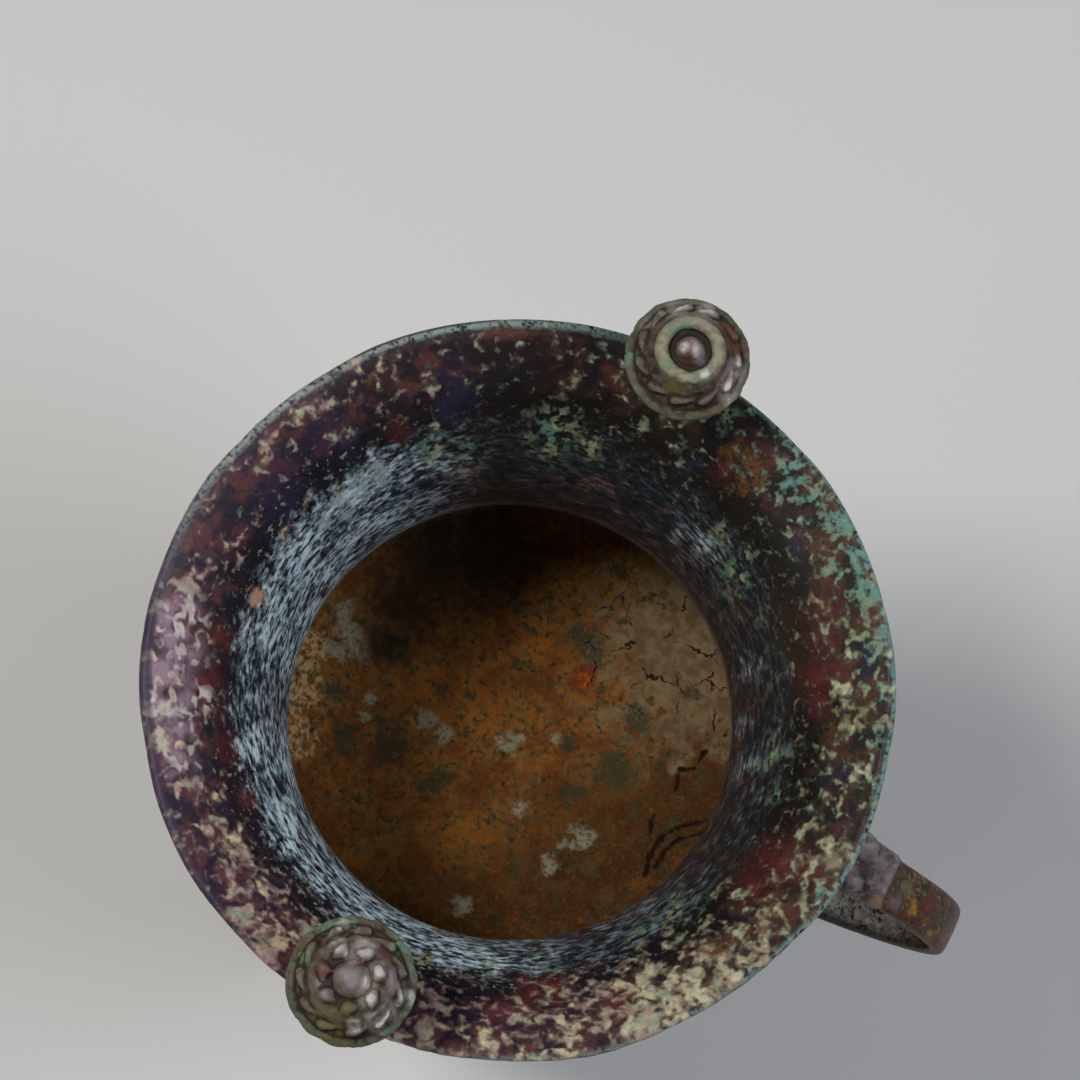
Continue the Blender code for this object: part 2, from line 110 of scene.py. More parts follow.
class Field:
    """A value in a node tree. Arithmetic on it adds Math nodes, so that a formula reads as one."""

    def __init__(self, tree, socket=None):
        self.tree = tree
        self.socket = socket

    def node(self, kind, settings=None, inputs=None, output=0):
        """Adds a node: its settings first, then the values or links of its sockets."""
        made = self.tree.nodes.new(kind)
        for name, value in (settings or {}).items():
            setattr(made, name, value)
        for name, value in (inputs or {}).items():
            if isinstance(value, Field):
                self.tree.links.new(value.socket, made.inputs[name])
            else:
                made.inputs[name].default_value = value
        return Field(self.tree, made.outputs[output])

    def maths(self, operation, *others):
        """A Math node whose first value is this one."""
        return self.node("ShaderNodeMath", {"operation": operation}, dict(enumerate((self, *others))))

    def vectors(self, operation, other, output=0):
        """A Vector Math node on this vector and another."""
        return self.node("ShaderNodeVectorMath", {"operation": operation}, {0: self, 1: other}, output)

    def __add__(self, other):
        return self.maths("ADD", other)

    def __sub__(self, other):
        return self.maths("SUBTRACT", other)

    def __mul__(self, other):
        return self.maths("MULTIPLY", other)

    def __truediv__(self, other):
        return self.maths("DIVIDE", other)

    def __rsub__(self, other):
        return self.node("ShaderNodeMath", {"operation": "SUBTRACT"}, {0: other, 1: self})

    __radd__ = __add__
    __rmul__ = __mul__

    def step(self, low, high):
        """0 at low, 1 at high and beyond, and smooth between. Low may be the higher of the two."""
        ends = {"Value": self, "From Min": low, "From Max": high}
        return self.node("ShaderNodeMapRange", {"interpolation_type": "SMOOTHSTEP"}, ends)

    def near(self, degrees, width):
        """1 where this angle is the given one, fading to 0 a width away on either side."""
        swing = (self - math.radians(degrees)).maths("COSINE")
        return swing.step(math.cos(math.radians(width)), 1.0)

    def parted(self):
        """The three parts of a vector."""
        parts = self.node("ShaderNodeSeparateXYZ", inputs={0: self}).socket.node
        return [Field(self.tree, socket) for socket in parts.outputs]

    def vector(self, *parts):
        return self.node("ShaderNodeCombineXYZ", inputs=dict(enumerate(parts)))

    def noise(self, size, detail=3.0, rough=0.5, seed=0.0, warp=0.0):
        """Clouds about size metres across at this place. A seed takes them from another stretch."""
        place = self.vectors("ADD", (seed, 1.7 * seed, -seed))
        return self.node("ShaderNodeTexNoise", inputs={
            "Vector": place, "Scale": 1 / size, "Detail": detail, "Roughness": rough, "Distortion": warp,
        })


def new_tree(name, inputs):
    """A geometry tree with named inputs. Returns its first node and its inputs by name."""
    tree = bpy.data.node_groups.new(name, "GeometryNodeTree")
    tree.interface.new_socket("Geometry", in_out="OUTPUT", socket_type="NodeSocketGeometry")
    for label, kind in {"Geometry": "Geometry", **inputs}.items():
        tree.interface.new_socket(label, in_out="INPUT", socket_type=f"NodeSocket{kind}")
    first = Field(tree).node("NodeGroupInput")
    return first, {socket.name: Field(tree, socket) for socket in first.socket.node.outputs}


def end_tree(geometry, finish):
    """Ends a tree in Realize Instances and Set Material."""
    real = geometry.node("GeometryNodeRealizeInstances", inputs={0: geometry})
    painted = real.node("GeometryNodeSetMaterial", inputs={"Geometry": real, "Material": finish})
    end = painted.tree.nodes.new("NodeGroupOutput")
    painted.tree.links.new(painted.socket, end.inputs[0])
    return painted.tree


def with_number(geometry, name, value):
    """Keeps a number for each point of a geometry."""
    kept = {"Geometry": geometry, "Name": name, "Value": value}
    return value.node("GeometryNodeStoreNamedAttribute", {"data_type": "FLOAT", "domain": "POINT"}, kept)


def plain_mesh(thing):
    """Keeps what a thing's modifiers make of it as a mesh, and takes them off."""
    graph = bpy.context.evaluated_depsgraph_get()
    shown = thing.evaluated_get(graph)
    made = bpy.data.meshes.new_from_object(shown, preserve_all_data_layers=True, depsgraph=graph)
    thing.modifiers.clear()
    thing.data = made
    return thing


def worked_by(tree, thing, **values):
    """Puts a thing through a geometry tree, whose inputs are set by their identifiers."""
    values["finish"] = finish
    modifier = thing.modifiers.new(tree.name, "NODES")
    modifier.node_group = tree
    for socket in tree.interface.items_tree:
        key = socket.name.lower().replace(" ", "_")
        if socket.in_out == "INPUT" and key in values:
            modifier[socket.identifier] = values[key]
    return plain_mesh(thing)


def placed(name, data):
    thing = bpy.data.objects.new(name, data)
    bpy.context.scene.collection.objects.link(thing)
    return thing


def made_of(name, shape):
    """A bmesh, as a thing in the scene."""
    mesh = bpy.data.meshes.new(name)
    shape.to_mesh(mesh)
    shape.free()
    return placed(name, mesh)


def outline_thing(name, points):
    """A row of points in the XZ plane, for the turning tree."""
    mesh = bpy.data.meshes.new(name)
    mesh.from_pydata([(radius, 0, height) for radius, height in points], [], [])
    return placed(name, mesh)


def bowl_points(radius, floor, steps):
    """The rounded bowl from its middle out to the widest line of the belly."""
    points = []
    for i in range(steps + 1):
        turn = math.pi / 2 * i / steps
        out = math.sin(turn) ** (2 / BOWL_SQUARENESS)
        down = math.cos(turn) ** (2 / BOWL_SQUARENESS)
        points.append((radius * out, BELLY_HEIGHT - (BELLY_HEIGHT - floor) * down))
    return points


def shoulder_points(belly, neck, steps):
    """The easy S from the belly up to the narrow neck."""
    shares = [i / steps for i in range(steps + 1)]
    sway = [(1 + math.cos(math.pi * share)) / 2 for share in shares]
    rise = NECK_HEIGHT - BELLY_HEIGHT
    return [(neck + (belly - neck) * s, BELLY_HEIGHT + rise * share) for s, share in zip(sway, shares)]


def inner_flare(turn):
    """The trumpet curve of the mouth, turn 0 at the neck and FLARE_TURN at the lip."""
    across = (MOUTH_RADIUS - LIP_ROLL - NECK_RADIUS) / (1 - math.cos(FLARE_TURN))
    up = (RIM_HEIGHT - NECK_HEIGHT) / math.sin(FLARE_TURN)
    return NECK_RADIUS + across * (1 - math.cos(turn)), NECK_HEIGHT + up * math.sin(turn)


def outer_flare(turn):
    """The underside of the flare: the inner curve set off by the wall."""
    radius, height = inner_flare(turn)
    ahead, behind = Vector(inner_flare(turn + 1e-4)), Vector(inner_flare(turn - 1e-4))
    along = (ahead - behind).normalized()
    return radius + WALL * along.y, height - WALL * along.x


def lip_points(steps):
    """The rounded edge of the lip, from the inner face over to the underside."""
    inner, outer = Vector(inner_flare(FLARE_TURN)), Vector(outer_flare(FLARE_TURN))
    middle, half = (inner + outer) / 2, (inner - outer) / 2
    outward = Vector((half.y, -half.x))
    forward = outward * (math.sqrt((MOUTH_RADIUS - middle.x) ** 2 - half.x ** 2) / outward.x)
    turns = [math.pi * i / steps for i in range(1, steps)]
    return [tuple(middle + half * math.cos(turn) + forward * math.sin(turn)) for turn in turns]


def with_cord(point):
    """A point of the outside, pushed out where a raised cord runs."""
    radius, height = point
    for level in CORD_LEVELS:
        off = abs(height - level) / CORD_HALF_WIDTH
        if off < 1:
            radius += CORD_HEIGHT * (1 + math.cos(math.pi * off)) / 2
    return radius, height


def with_groove(point):
    """A point of the flare, sunk where a shallow groove sets off the narrow bead of the lip."""
    radius, height = point
    off = abs(MOUTH_RADIUS - LIP_GROOVE_IN - radius) / LIP_GROOVE_HALF_WIDTH
    return radius, height - LIP_GROOVE_DEPTH * (1 + math.cos(math.pi * min(off, 1))) / 2


def spaced(points, spacing):
    """Points of a finely drawn outline, as far apart as spacing asks for at each place."""
    kept = [points[0]]
    run = 0.0
    for last, point in zip(points, points[1:]):
        run += math.dist(last, point)
        if run >= spacing(point):
            kept.append(point)
            run = 0.0
    if math.dist(kept[-1], points[-1]) > 1e-5:
        kept.append(points[-1])
    return kept


def flare_spacing(point):
    return LIP_RINGS if point[0] > MOUTH_RADIUS - 2 * LIP_GROOVE_IN + LIP_ROLL else FLARE_RINGS


def outside_spacing(point):
    """Close rings over the cords and the frieze, wide ones elsewhere."""
    if any(abs(point[1] - level) < CORD_HALF_WIDTH * 1.6 for level in CORD_LEVELS):
        return CORD_RINGS
    return SHOULDER_RINGS if point[1] > BELLY_HEIGHT - FRIEZE_HALF_HEIGHT else UNDER_RINGS


def pot_profile():
    """The half section of the pot, from the middle of its floor round the lip to the underside."""
    fine = 900
    flare = [inner_flare(FLARE_TURN * i / fine) for i in range(fine + 1)]
    under = [outer_flare(FLARE_TURN * (1 - i / fine)) for i in range(fine + 1)]
    under += shoulder_points(BELLY_RADIUS + WALL, NECK_RADIUS + WALL, fine)[::-1]
    under += bowl_points(BELLY_RADIUS + WALL, FLOOR_HEIGHT - FLOOR_WALL, fine)[::-1]
    inside = spaced(bowl_points(BELLY_RADIUS, FLOOR_HEIGHT, fine), lambda point: FLOOR_RINGS)
    inside += spaced(shoulder_points(BELLY_RADIUS, NECK_RADIUS, fine), lambda point: THROAT_RINGS)[1:]
    inside += spaced([with_groove(point) for point in flare], flare_spacing)[1:]
    return inside + lip_points(8) + spaced([with_cord(point) for point in under], outside_spacing)


def turning_tree():
    """Turns a row of points about an upright line at Axis X. Knocks is 1 for a lip that has been knocked.

    Each point keeps, as "edge", how many millimetres it was from the widest line before the knocks.
    """
    inputs = {"Steps": "Int", "Axis X": "Float", "Knocks": "Float", "Finish": "Material"}
    start, given = new_tree("turned_form", inputs)
    count = start.node("GeometryNodeAttributeDomainSize", inputs={0: given["Geometry"]})
    sizes = {"Vertices X": given["Steps"] + 1, "Vertices Y": count}
    grid = start.node("GeometryNodeMeshGrid", inputs=sizes)
    index = start.node("GeometryNodeInputIndex")
    column = ((index + 0.5) / count).maths("FLOOR")
    position = start.node("GeometryNodeInputPosition")
    sample = {"Geometry": given["Geometry"], "Value": position, "Index": index - column * count}
    settings = {"data_type": "FLOAT_VECTOR", "domain": "POINT"}
    radius, _, height = start.node("GeometryNodeSampleIndex", settings, sample).parted()
    angle = column / given["Steps"] * (2 * math.pi)
    in_photo = angle + HANDLE_TURN
    knocked = height.step(RIM_HEIGHT - KNOCK_DEPTH, RIM_HEIGHT) * given["Knocks"]
    rolled = radius.step(MOUTH_RADIUS - ROLL_REACH, MOUTH_RADIUS) * given["Knocks"]
    reach = radius + knocked * sum(in_photo.near(at, width) * far for at, width, far in LIP_KNOCKS)
    height = height - rolled * sum(in_photo.near(at, width) * far for at, width, far in LIP_ROLLS)
    across = reach * angle.maths("COSINE") + given["Axis X"]
    place = start.vector(across, reach * angle.maths("SINE"), height)
    known = with_number(grid, "edge", (MOUTH_RADIUS - radius) * MM)
    turned = start.node("GeometryNodeSetPosition", inputs={"Geometry": known, "Position": place})
    closed = start.node("GeometryNodeMergeByDistance", inputs={"Geometry": turned, "Distance": 1e-6})
    outwards = start.node("GeometryNodeFlipFaces", inputs={"Mesh": closed})
    return end_tree(outwards, given["Finish"])


finish = bpy.data.materials.new("aged_bronze")
turned_form = turning_tree()
pot = outline_thing("pot", pot_profile())
worked_by(turned_form, pot, steps=POT_STEPS, axis_x=AXIS_X, knocks=1.0)

# The legs
# Three splayed legs, cast with the bowl: blunt three-sided blades with their flat face outwards, thickest at
# the root and worn round at the foot.

LEG_ROOT_RADIUS_FROM_AXIS = 0.0575
LEG_FOOT_RADIUS_FROM_AXIS = 0.0795
LEG_ROOT_WIDTH = 0.033
LEG_FOOT_WIDTH = 0.01
LEG_ROOT_DEPTH = 0.027
LEG_FOOT_DEPTH = 0.009
LEG_TAPER = 1.25
LEG_BOW = 0.85
LEG_SPREAD_UP = 0.94
LEG_COUNT = 3
LEG_STEPS = 40
# Rings that close the root within the bowl's wall, as shares of its size
ROOT_RINGS = (1.0, 0.8, 0.6, 0.4, 0.2)
# Half of a leg's section as shares of its depth outwards and of its width
LEG_SECTION = ((0.45, 0.0), (0.4, 0.38), (0.3, 0.5), (0.14, 0.46), (-0.54, 0.13), (-0.6, 0.0))
LEG_GRAIN = 0.001
FOOT_WEAR = 0.0008


def crossing(low, high, is_low):
    """The value between low and high where is_low stops holding."""
    for _ in range(40):
        middle = (low + high) / 2
        low, high = (middle, high) if is_low(middle) else (low, middle)
    return (low + high) / 2


def loft(name, rings):
    """A closed form through rings of points, each ring with as many points as the last."""
    shape = bmesh.new()
    loops = [[shape.verts.new(point) for point in ring] for ring in rings]
    count = len(loops[0])
    for low, high in zip(loops, loops[1:]):
        for i in range(count):
            j = (i + 1) % count
            shape.faces.new((low[i], low[j], high[j], high[i]))
    shape.faces.new(loops[0][::-1])
    shape.faces.new(loops[-1])
    bmesh.ops.recalc_face_normals(shape, faces=shape.faces)
    return made_of(name, shape)


def fused(name, parts, grain, rounds):
    """Runs overlapping parts together as one casting, and eases its edges."""
    shape = bmesh.new()
    for part in parts:
        shape.from_mesh(part.data)
        bpy.data.objects.remove(part)
    whole = made_of(name, shape)
    remesh = whole.modifiers.new("one_skin", "REMESH")
    remesh.mode = "VOXEL"
    remesh.voxel_size = grain
    ease = whole.modifiers.new("eased", "SMOOTH")
    ease.factor = 0.5
    ease.iterations = rounds
    return plain_mesh(whole)


def ring_tree():
    """Repeats a form about an upright line at Axis X. Skip First leaves out the one at the start."""
    inputs = {"Count": "Int", "Axis X": "Float", "Skip First": "Bool", "Finish": "Material"}
    start, given = new_tree("repeated_form", inputs)
    points = start.node("GeometryNodePoints", inputs={"Count": given["Count"]})
    index = start.node("GeometryNodeInputIndex")
    turn = start.vector(0.0, 0.0, index / given["Count"] * (2 * math.pi))
    turned = start.node("FunctionNodeEulerToRotation", inputs={0: turn})
    first = index.maths("LESS_THAN", 0.5)
    wanted = start.node("FunctionNodeBooleanMath", {"operation": "NAND"}, {0: given["Skip First"], 1: first})
    copies = start.node("GeometryNodeInstanceOnPoints", inputs={
        "Points": points, "Selection": wanted, "Instance": given["Geometry"], "Rotation": turned,
    })
    shift = start.vector(given["Axis X"], 0.0, 0.0)
    moved = start.node("GeometryNodeTransform", inputs={"Geometry": copies, "Translation": shift})
    return end_tree(moved, given["Finish"])


def bowl_middle_height(radius):
    """Height of the middle of the bowl's wall at a radius from the axis."""
    wall = bowl_points(BELLY_RADIUS + WALL / 2, FLOOR_HEIGHT - FLOOR_WALL / 2, 60)
    return float(np.interp(radius, [out for out, _ in wall], [up for _, up in wall]))


def leg_outline(share):
    """The leg's section at a share of its height, as points across the ground, and its middle."""
    thickening = share ** LEG_TAPER
    width = LEG_FOOT_WIDTH + (LEG_ROOT_WIDTH - LEG_FOOT_WIDTH) * thickening
    depth = LEG_FOOT_DEPTH + (LEG_ROOT_DEPTH - LEG_FOOT_DEPTH) * thickening
    span = LEG_FOOT_RADIUS_FROM_AXIS - LEG_ROOT_RADIUS_FROM_AXIS
    middle = LEG_FOOT_RADIUS_FROM_AXIS - span * share ** LEG_BOW
    side = [(middle + out * depth, across * width) for out, across in LEG_SECTION]
    return side + [(x, -y) for x, y in side[-2:0:-1]], middle


def leg():
    """One leg, from its foot on the ground to its root in the middle of the bowl's wall."""
    top = bowl_middle_height(LEG_ROOT_RADIUS_FROM_AXIS)
    rings = []
    for i in range(LEG_STEPS):
        outline, _ = leg_outline(i / LEG_STEPS)
        rings.append([Vector((x, y, top * LEG_SPREAD_UP * i / LEG_STEPS)) for x, y in outline])
    outline, middle = leg_outline(1.0)
    for shrink in ROOT_RINGS:
        ring = [(middle + (x - middle) * shrink, y * shrink) for x, y in outline]
        rings.append([Vector((x, y, bowl_middle_height(math.hypot(x, y)))) for x, y in ring])
    return loft("leg", rings)


repeated_form = ring_tree()
legs = fused("legs", [leg()], LEG_GRAIN, 3)
for point in legs.data.vertices:
    if point.co.z < FOOT_WEAR:
        point.co.z = 0.0
worked_by(repeated_form, legs, count=LEG_COUNT, axis_x=AXIS_X, skip_first=False)

# The handle
# A strap that springs from the neck, bends down past the fingers and runs back to the belly, with an ox head
# on its upper arm. It was cast in the same pour, and the head is worn smooth by the hand.

HANDLE_REACH = highest.x - AXIS_X
HANDLE_TOP = 0.2322
HANDLE_BOTTOM = 0.1404
HANDLE_BEND_HEIGHT = 0.188
HANDLE_UPPER_SQUARENESS = 1.75
HANDLE_LOWER_SQUARENESS = 1.68
STRAP_WIDTH = 0.0138
STRAP_THICKNESS = 0.004
# Half of the strap's section: shares of its half width, and of its half thickness outwards
STRAP_SECTION = ((0.0, 1.1), (0.55, 1.02), (0.86, 0.88), (1.0, 0.25), (0.98, -0.6), (0.88, -1.0))
HEAD_BACK = 0.0765
HEAD_FRONT = 0.105
HEAD_HALF_WIDTH = 0.0094
HEAD_RISE = 0.006
# The head from its back to its muzzle: share of its length, of its width and of its rise
HEAD_STATIONS = (
    (0.0, 0.8, 0.4), (0.16, 0.98, 0.85), (0.4, 1.0, 1.0), (0.54, 0.98, 1.0), (0.66, 0.9, 0.84),
    (0.76, 0.82, 0.74), (0.88, 0.8, 0.8), (0.95, 0.8, 0.78), (1.0, 0.76, 0.5),
)
HEAD_SECTION = ((1.0, 0.0), (0.98, 0.45), (0.76, 0.84), (0.46, 1.0), (0.18, 0.92), (0.0, 0.86))
HEAD_STEPS, STRAP_STEPS = 40, 90
# What swells from either side of the head: its place in shares, as on_head takes them, and its half sizes
SWELLINGS = {
    "eye": ((0.64, 0.5, 0.5), (0.003625, 0.0029, 0.00261)),
    "nostril": ((0.91, 0.48, 0.55), (0.00126, 0.0021, 0.00126)),
    "ear": ((0.44, 0.8, 0.35), (0.00435, 0.00203, 0.00232)),
}
HORN_RADIUS = 0.0015
HORN_CURL = 0.0034
HORN_TURN = math.radians(215)
HORN_APART = 1.3
HORN_APART = 1.3
HORN_THINNING = 0.62
HORN_PLACE = 0.34
HORN_SINK = 0.1
HORN_DROP = 0.38
HANDLE_GRAIN = 0.00055
# How many sides a horn has, and a lobe of a cap
CURL_SIDES = 10
# How many sides a horn has, and a lobe of a cap
CURL_SIDES = 10


def body_radius(height):
    """Outside radius of the pot from its belly up to its lip, without the cords."""
    side = shoulder_points(BELLY_RADIUS + WALL, NECK_RADIUS + WALL, 60)
    side += [outer_flare(FLARE_TURN * i / 60) for i in range(1, 61)]
    side.sort(key=lambda point: point[1])
    return float(np.interp(height, [up for _, up in side], [out for out, _ in side]))


def handle_path(turn):
    """Middle line of the strap as (radius, height), a quarter turn up at its top, none at its bend."""
    start = NECK_RADIUS + WALL / 2
    reach = HANDLE_REACH - STRAP_THICKNESS / 2 - start
    if turn > 0:
        squareness = HANDLE_UPPER_SQUARENESS
        lift = HANDLE_TOP - STRAP_THICKNESS / 2 - HANDLE_BEND_HEIGHT
    else:
        squareness = HANDLE_LOWER_SQUARENESS
        lift = HANDLE_BOTTOM + STRAP_THICKNESS / 2 - HANDLE_BEND_HEIGHT
    across = abs(math.cos(turn)) ** (2 / squareness)
    up = abs(math.sin(turn)) ** (2 / squareness)
    return Vector((start + reach * across, HANDLE_BEND_HEIGHT + lift * up))


def root_turn(quarter):
    """How far round its path the strap reaches the middle of the pot's wall."""

    def outside(turn):
        radius, height = handle_path(turn)
        return radius > body_radius(height) - WALL / 2

    return crossing(0, quarter, outside)


def strap():
    """The strap from the neck round the finger loop to the belly, its ends inside the wall."""
    top, bottom = root_turn(math.pi / 2), root_turn(-math.pi / 2)
    section = list(STRAP_SECTION) + [(-across, out) for across, out in STRAP_SECTION[:0:-1]]
    rings = []
    for i in range(STRAP_STEPS + 1):
        turn = top + (bottom - top) * i / STRAP_STEPS
        along = (handle_path(turn - 0.01) - handle_path(turn + 0.01)).normalized()
        if i in (0, STRAP_STEPS):
            along = Vector((1, 0)) if i == 0 else Vector((-1, 0))
        outward = Vector((-along.y, along.x)) * STRAP_THICKNESS / 2
        ring = []
        for across, out in section:
            place = handle_path(turn) + outward * out
            ring.append(Vector((place.x, across * STRAP_WIDTH / 2, place.y)))
        rings.append(ring)
    return loft("strap", rings)


def on_head(along, across=0.0, up=0.0, side=1):
    """A point on the head, from shares of its length, half width and rise."""
    radius = HEAD_BACK + (HEAD_FRONT - HEAD_BACK) * along
    base = handle_path(crossing(0, math.pi / 2, lambda turn: handle_path(turn).x > radius)).y
    rise = STRAP_THICKNESS / 2 + HEAD_RISE * up
    return Vector((radius, side * HEAD_HALF_WIDTH * across, base + rise))


def head():
    """The head's mass, widest at the brow, with a ridge down its nose and a broad lip to the muzzle."""
    section = list(HEAD_SECTION) + [(-side, up) for side, up in HEAD_SECTION[-2::-1]]
    shares, widths, rises = zip(*HEAD_STATIONS)
    rings = []
    for i in range(HEAD_STEPS + 1):
        share = i / HEAD_STEPS
        wide, high = np.interp(share, shares, widths), np.interp(share, shares, rises)
        foot = on_head(share)
        rise = STRAP_THICKNESS / 2 + HEAD_RISE * high
        foot.z -= STRAP_THICKNESS / 2
        rings.append([foot + Vector((0, HEAD_HALF_WIDTH * wide * s, rise * up)) for s, up in section])
    return loft("head", rings)


def bead(name, centre, radii):
    """A rounded swelling of the casting."""
    shape = bmesh.new()
    bmesh.ops.create_icosphere(shape, subdivisions=3, radius=1.0)
    for point in shape.verts:
        point.co = point.co * Vector(radii) + centre
    return made_of(name, shape)


def ring_about(centre, across, up, radius, steps):
    turns = [2 * math.pi * i / steps for i in range(steps)]
    return [centre + across * radius * math.cos(t) + up * radius * math.sin(t) for t in turns]


def horn(side):
    """A horn that curls back and out over the crown."""
    root = on_head(HORN_PLACE, up=1 - HORN_SINK)
    steps = 20
    rings = []
    for i in range(steps + 1):
        share = i / steps
        turn = HORN_TURN * share
        curl = Vector((-math.sin(turn), side * (1 - math.cos(turn)), 0)) * HORN_CURL
        centre = root + curl + Vector((0, side * HORN_RADIUS * HORN_APART, -HEAD_RISE * HORN_DROP * share))
        out = Vector((math.sin(turn), side * math.cos(turn), 0))
        radius = HORN_RADIUS * (1 - HORN_THINNING * share)
        rings.append(ring_about(centre, out, Vector((0, 0, 1)), radius, CURL_SIDES))
    return loft("horn", rings)


def handle_parts():
    parts = [strap(), head()]
    for side in (-1, 1):
        parts += [bead(name, on_head(*at, side), radii) for name, (at, radii) in SWELLINGS.items()]
        parts.append(horn(side))
    return parts


handle = fused("handle", handle_parts(), HANDLE_GRAIN, 7)
handle.data.transform(Matrix.Translation((AXIS_X, 0, 0)))

# The posts and their caps
# Two square posts stand on the lip and each carries a mushroom cap: a thin flange, a cone with whorl lobes
# curling up it, a ring and a knob. The far cap's ring is whole, and the near one's has broken into lobes.

POST_LINE_TURN = math.radians(87.8)
POST_RADIUS_FROM_AXIS = 0.0848
POST_WIDTH = 0.0086
POST_CORNER = 0.62
POST_FOOT = 1.12
POST_TOP = 0.82
POST_TAPER_END = 0.77
POST_STEPS = 12
POST_STEPS = 12
CAP_BASE_ABOVE_RIM = 0.0235
CAP_RADIUS = 0.0152
CAP_HEIGHT = 0.0145
CAP_STEPS = 72
CAP_GRAIN = 0.00042
# Section of a cap, as shares of its radius and height. The ring's own points come between the two halves
CAP_FLANK = ((0.0, 0.03), (1.0, 0.0), (1.0, 0.1), (0.93, 0.17), (0.86, 0.19), (0.8, 0.29), (0.63, 0.52))
WHOLE_RING = (
    (0.57, 0.62), (0.555, 0.7), (0.51, 0.755), (0.45, 0.77), (0.39, 0.75), (0.345, 0.69), (0.33, 0.58),
)
WORN_RING = ((0.56, 0.56), (0.48, 0.57), (0.4, 0.57), (0.35, 0.57))
WHOLE_KNOB = (
    (0.31, 0.6), (0.235, 0.64), (0.195, 0.74), (0.165, 0.87), (0.1, 0.96), (0.04, 0.995), (0.0, 1.0),
)
WORN_KNOB = ((0.3, 0.58), (0.285, 0.66), (0.22, 0.75), (0.14, 0.8), (0.06, 0.83), (0.0, 0.83))
# Whorl lobes: count, shares of the cap out and up, length, thickness, climb inwards, degrees round the cap
OUTER_LOBES = (11, 0.78, 0.33, 0.006, 0.0015, 0.07, 3)
INNER_LOBES = (7, 0.445, 0.6, 0.0042, 0.0017, 0.03, 26)
LOBE_FLATNESS = 0.7
LOBE_FLATNESS = 0.7


def flare_middle_height(radius):
    """Height of the middle of the flare's wall at a radius."""

    def inwards(turn):
        return (inner_flare(turn)[0] + outer_flare(turn)[0]) / 2 < radius

    turn = crossing(0, FLARE_TURN, inwards)
    return (inner_flare(turn)[1] + outer_flare(turn)[1]) / 2


def post():
    """A square post with softened corners, rooted in the lip and thinner at the top."""
    half = POST_WIDTH / 2
    outline = []
    for sx, sy in ((1, 1), (-1, 1), (-1, -1), (1, -1)):
        pair = [(sx * half, sy * half * POST_CORNER), (sx * half * POST_CORNER, sy * half)]
        outline += pair if sx * sy > 0 else pair[::-1]
    top = RIM_HEIGHT + CAP_BASE_ABOVE_RIM + CAP_HEIGHT * 0.2
    rings = []
    for i in range(POST_STEPS + 1):
        share = i / POST_STEPS
        size = POST_FOOT - (POST_FOOT - POST_TOP) * min(1, share / POST_TAPER_END)
        ring = []
        for x, y in outline:
            place = Vector((POST_RADIUS_FROM_AXIS + x * size, y * size, 0))
            foot = flare_middle_height(math.hypot(place.x, place.y))
            place.z = foot + (top - foot) * share
            ring.append(place)
        rings.append(ring)
    return loft("post", rings)


def whorl_lobe(count, out, up, length, thick, climb, swing):
    """One comma-shaped lobe on the cap's cone, fat at its head and drawn out round the cap."""
    steps = 14
    sweep = length / (out * CAP_RADIUS)
    rings = []
    for i in range(steps + 1):
        share = i / steps
        turn = sweep * (share - 0.5) + math.radians(swing)
        radius = thick * (math.sin(math.pi * share ** 0.75) ** 0.5 * (1.1 - 0.55 * share) + 0.05)
        reach = CAP_RADIUS * (out - climb * share)
        across = Vector((math.cos(turn), math.sin(turn), 0))
        centre = across * reach + Vector((0, 0, CAP_HEIGHT * (up + 0.9 * climb * share)))
        rings.append(ring_about(centre, across, Vector((0, 0, LOBE_FLATNESS)), radius, CURL_SIDES))
    return loft("whorl_lobe", rings)


def cap(name, crown, lobes, turn):
    """A cap and its post, fused, on the lip at a turn about the vessel's axis."""
    points = [(CAP_RADIUS * out, CAP_HEIGHT * up) for out, up in CAP_FLANK + crown]
    parts = [worked_by(turned_form, outline_thing("cap", points), steps=CAP_STEPS, axis_x=0.0, knocks=0.0)]
    for kind in lobes:
        lobe = whorl_lobe(*kind)
        parts.append(worked_by(repeated_form, lobe, count=kind[0], axis_x=0.0, skip_first=False))
    seat = Matrix.Translation((POST_RADIUS_FROM_AXIS, 0, RIM_HEIGHT + CAP_BASE_ABOVE_RIM))
    for part in parts:
        part.data.transform(seat)
    whole = fused(name, parts + [post()], CAP_GRAIN, 4)
    whole.data.transform(Matrix.Translation((AXIS_X, 0, 0)) @ Matrix.Rotation(turn, 4, "Z"))
    return whole


far_cap = cap("far_cap", WHOLE_RING + WHOLE_KNOB, [OUTER_LOBES], POST_LINE_TURN)
near_cap = cap("near_cap", WORN_RING + WORN_KNOB, [OUTER_LOBES, INNER_LOBES], POST_LINE_TURN + math.pi)

# The frieze
# Between two raised cords the belly carries whorl roundels, cast in low relief from the mould: a border, a
# boss and four curved arms. There is none under the handle.

ROUNDEL_PLACES = 12
ROUNDEL_RADIUS = 0.0098
ROUNDEL_RISE = 0.0013
ROUNDEL_ARMS = 4
ROUNDEL_STEPS = 72
# How deep its back lies in the wall, as a share of that
ROUNDEL_SINK = 0.6
# How deep its back lies in the wall, as a share of that
ROUNDEL_SINK = 0.6
# The arms: how they curl, and their shares of the rise and of the radius, from boss to border with soft ends
ARM_CURL, ARM_RISE, ARM_FROM, ARM_TO, ARM_END = 3.2, 0.55, 0.3, 0.72, 0.06
# Height of a roundel from its middle to its edge: shares of its radius and of its rise
ROUNDEL_SECTION = (
    (0.0, 1.15), (0.14, 1.12), (0.25, 0.95), (0.31, 0.35), (0.7, 0.35), (0.76, 0.95), (0.84, 1.05),
    (0.92, 0.95), (0.97, 0.3), (1.0, -1.5),
)


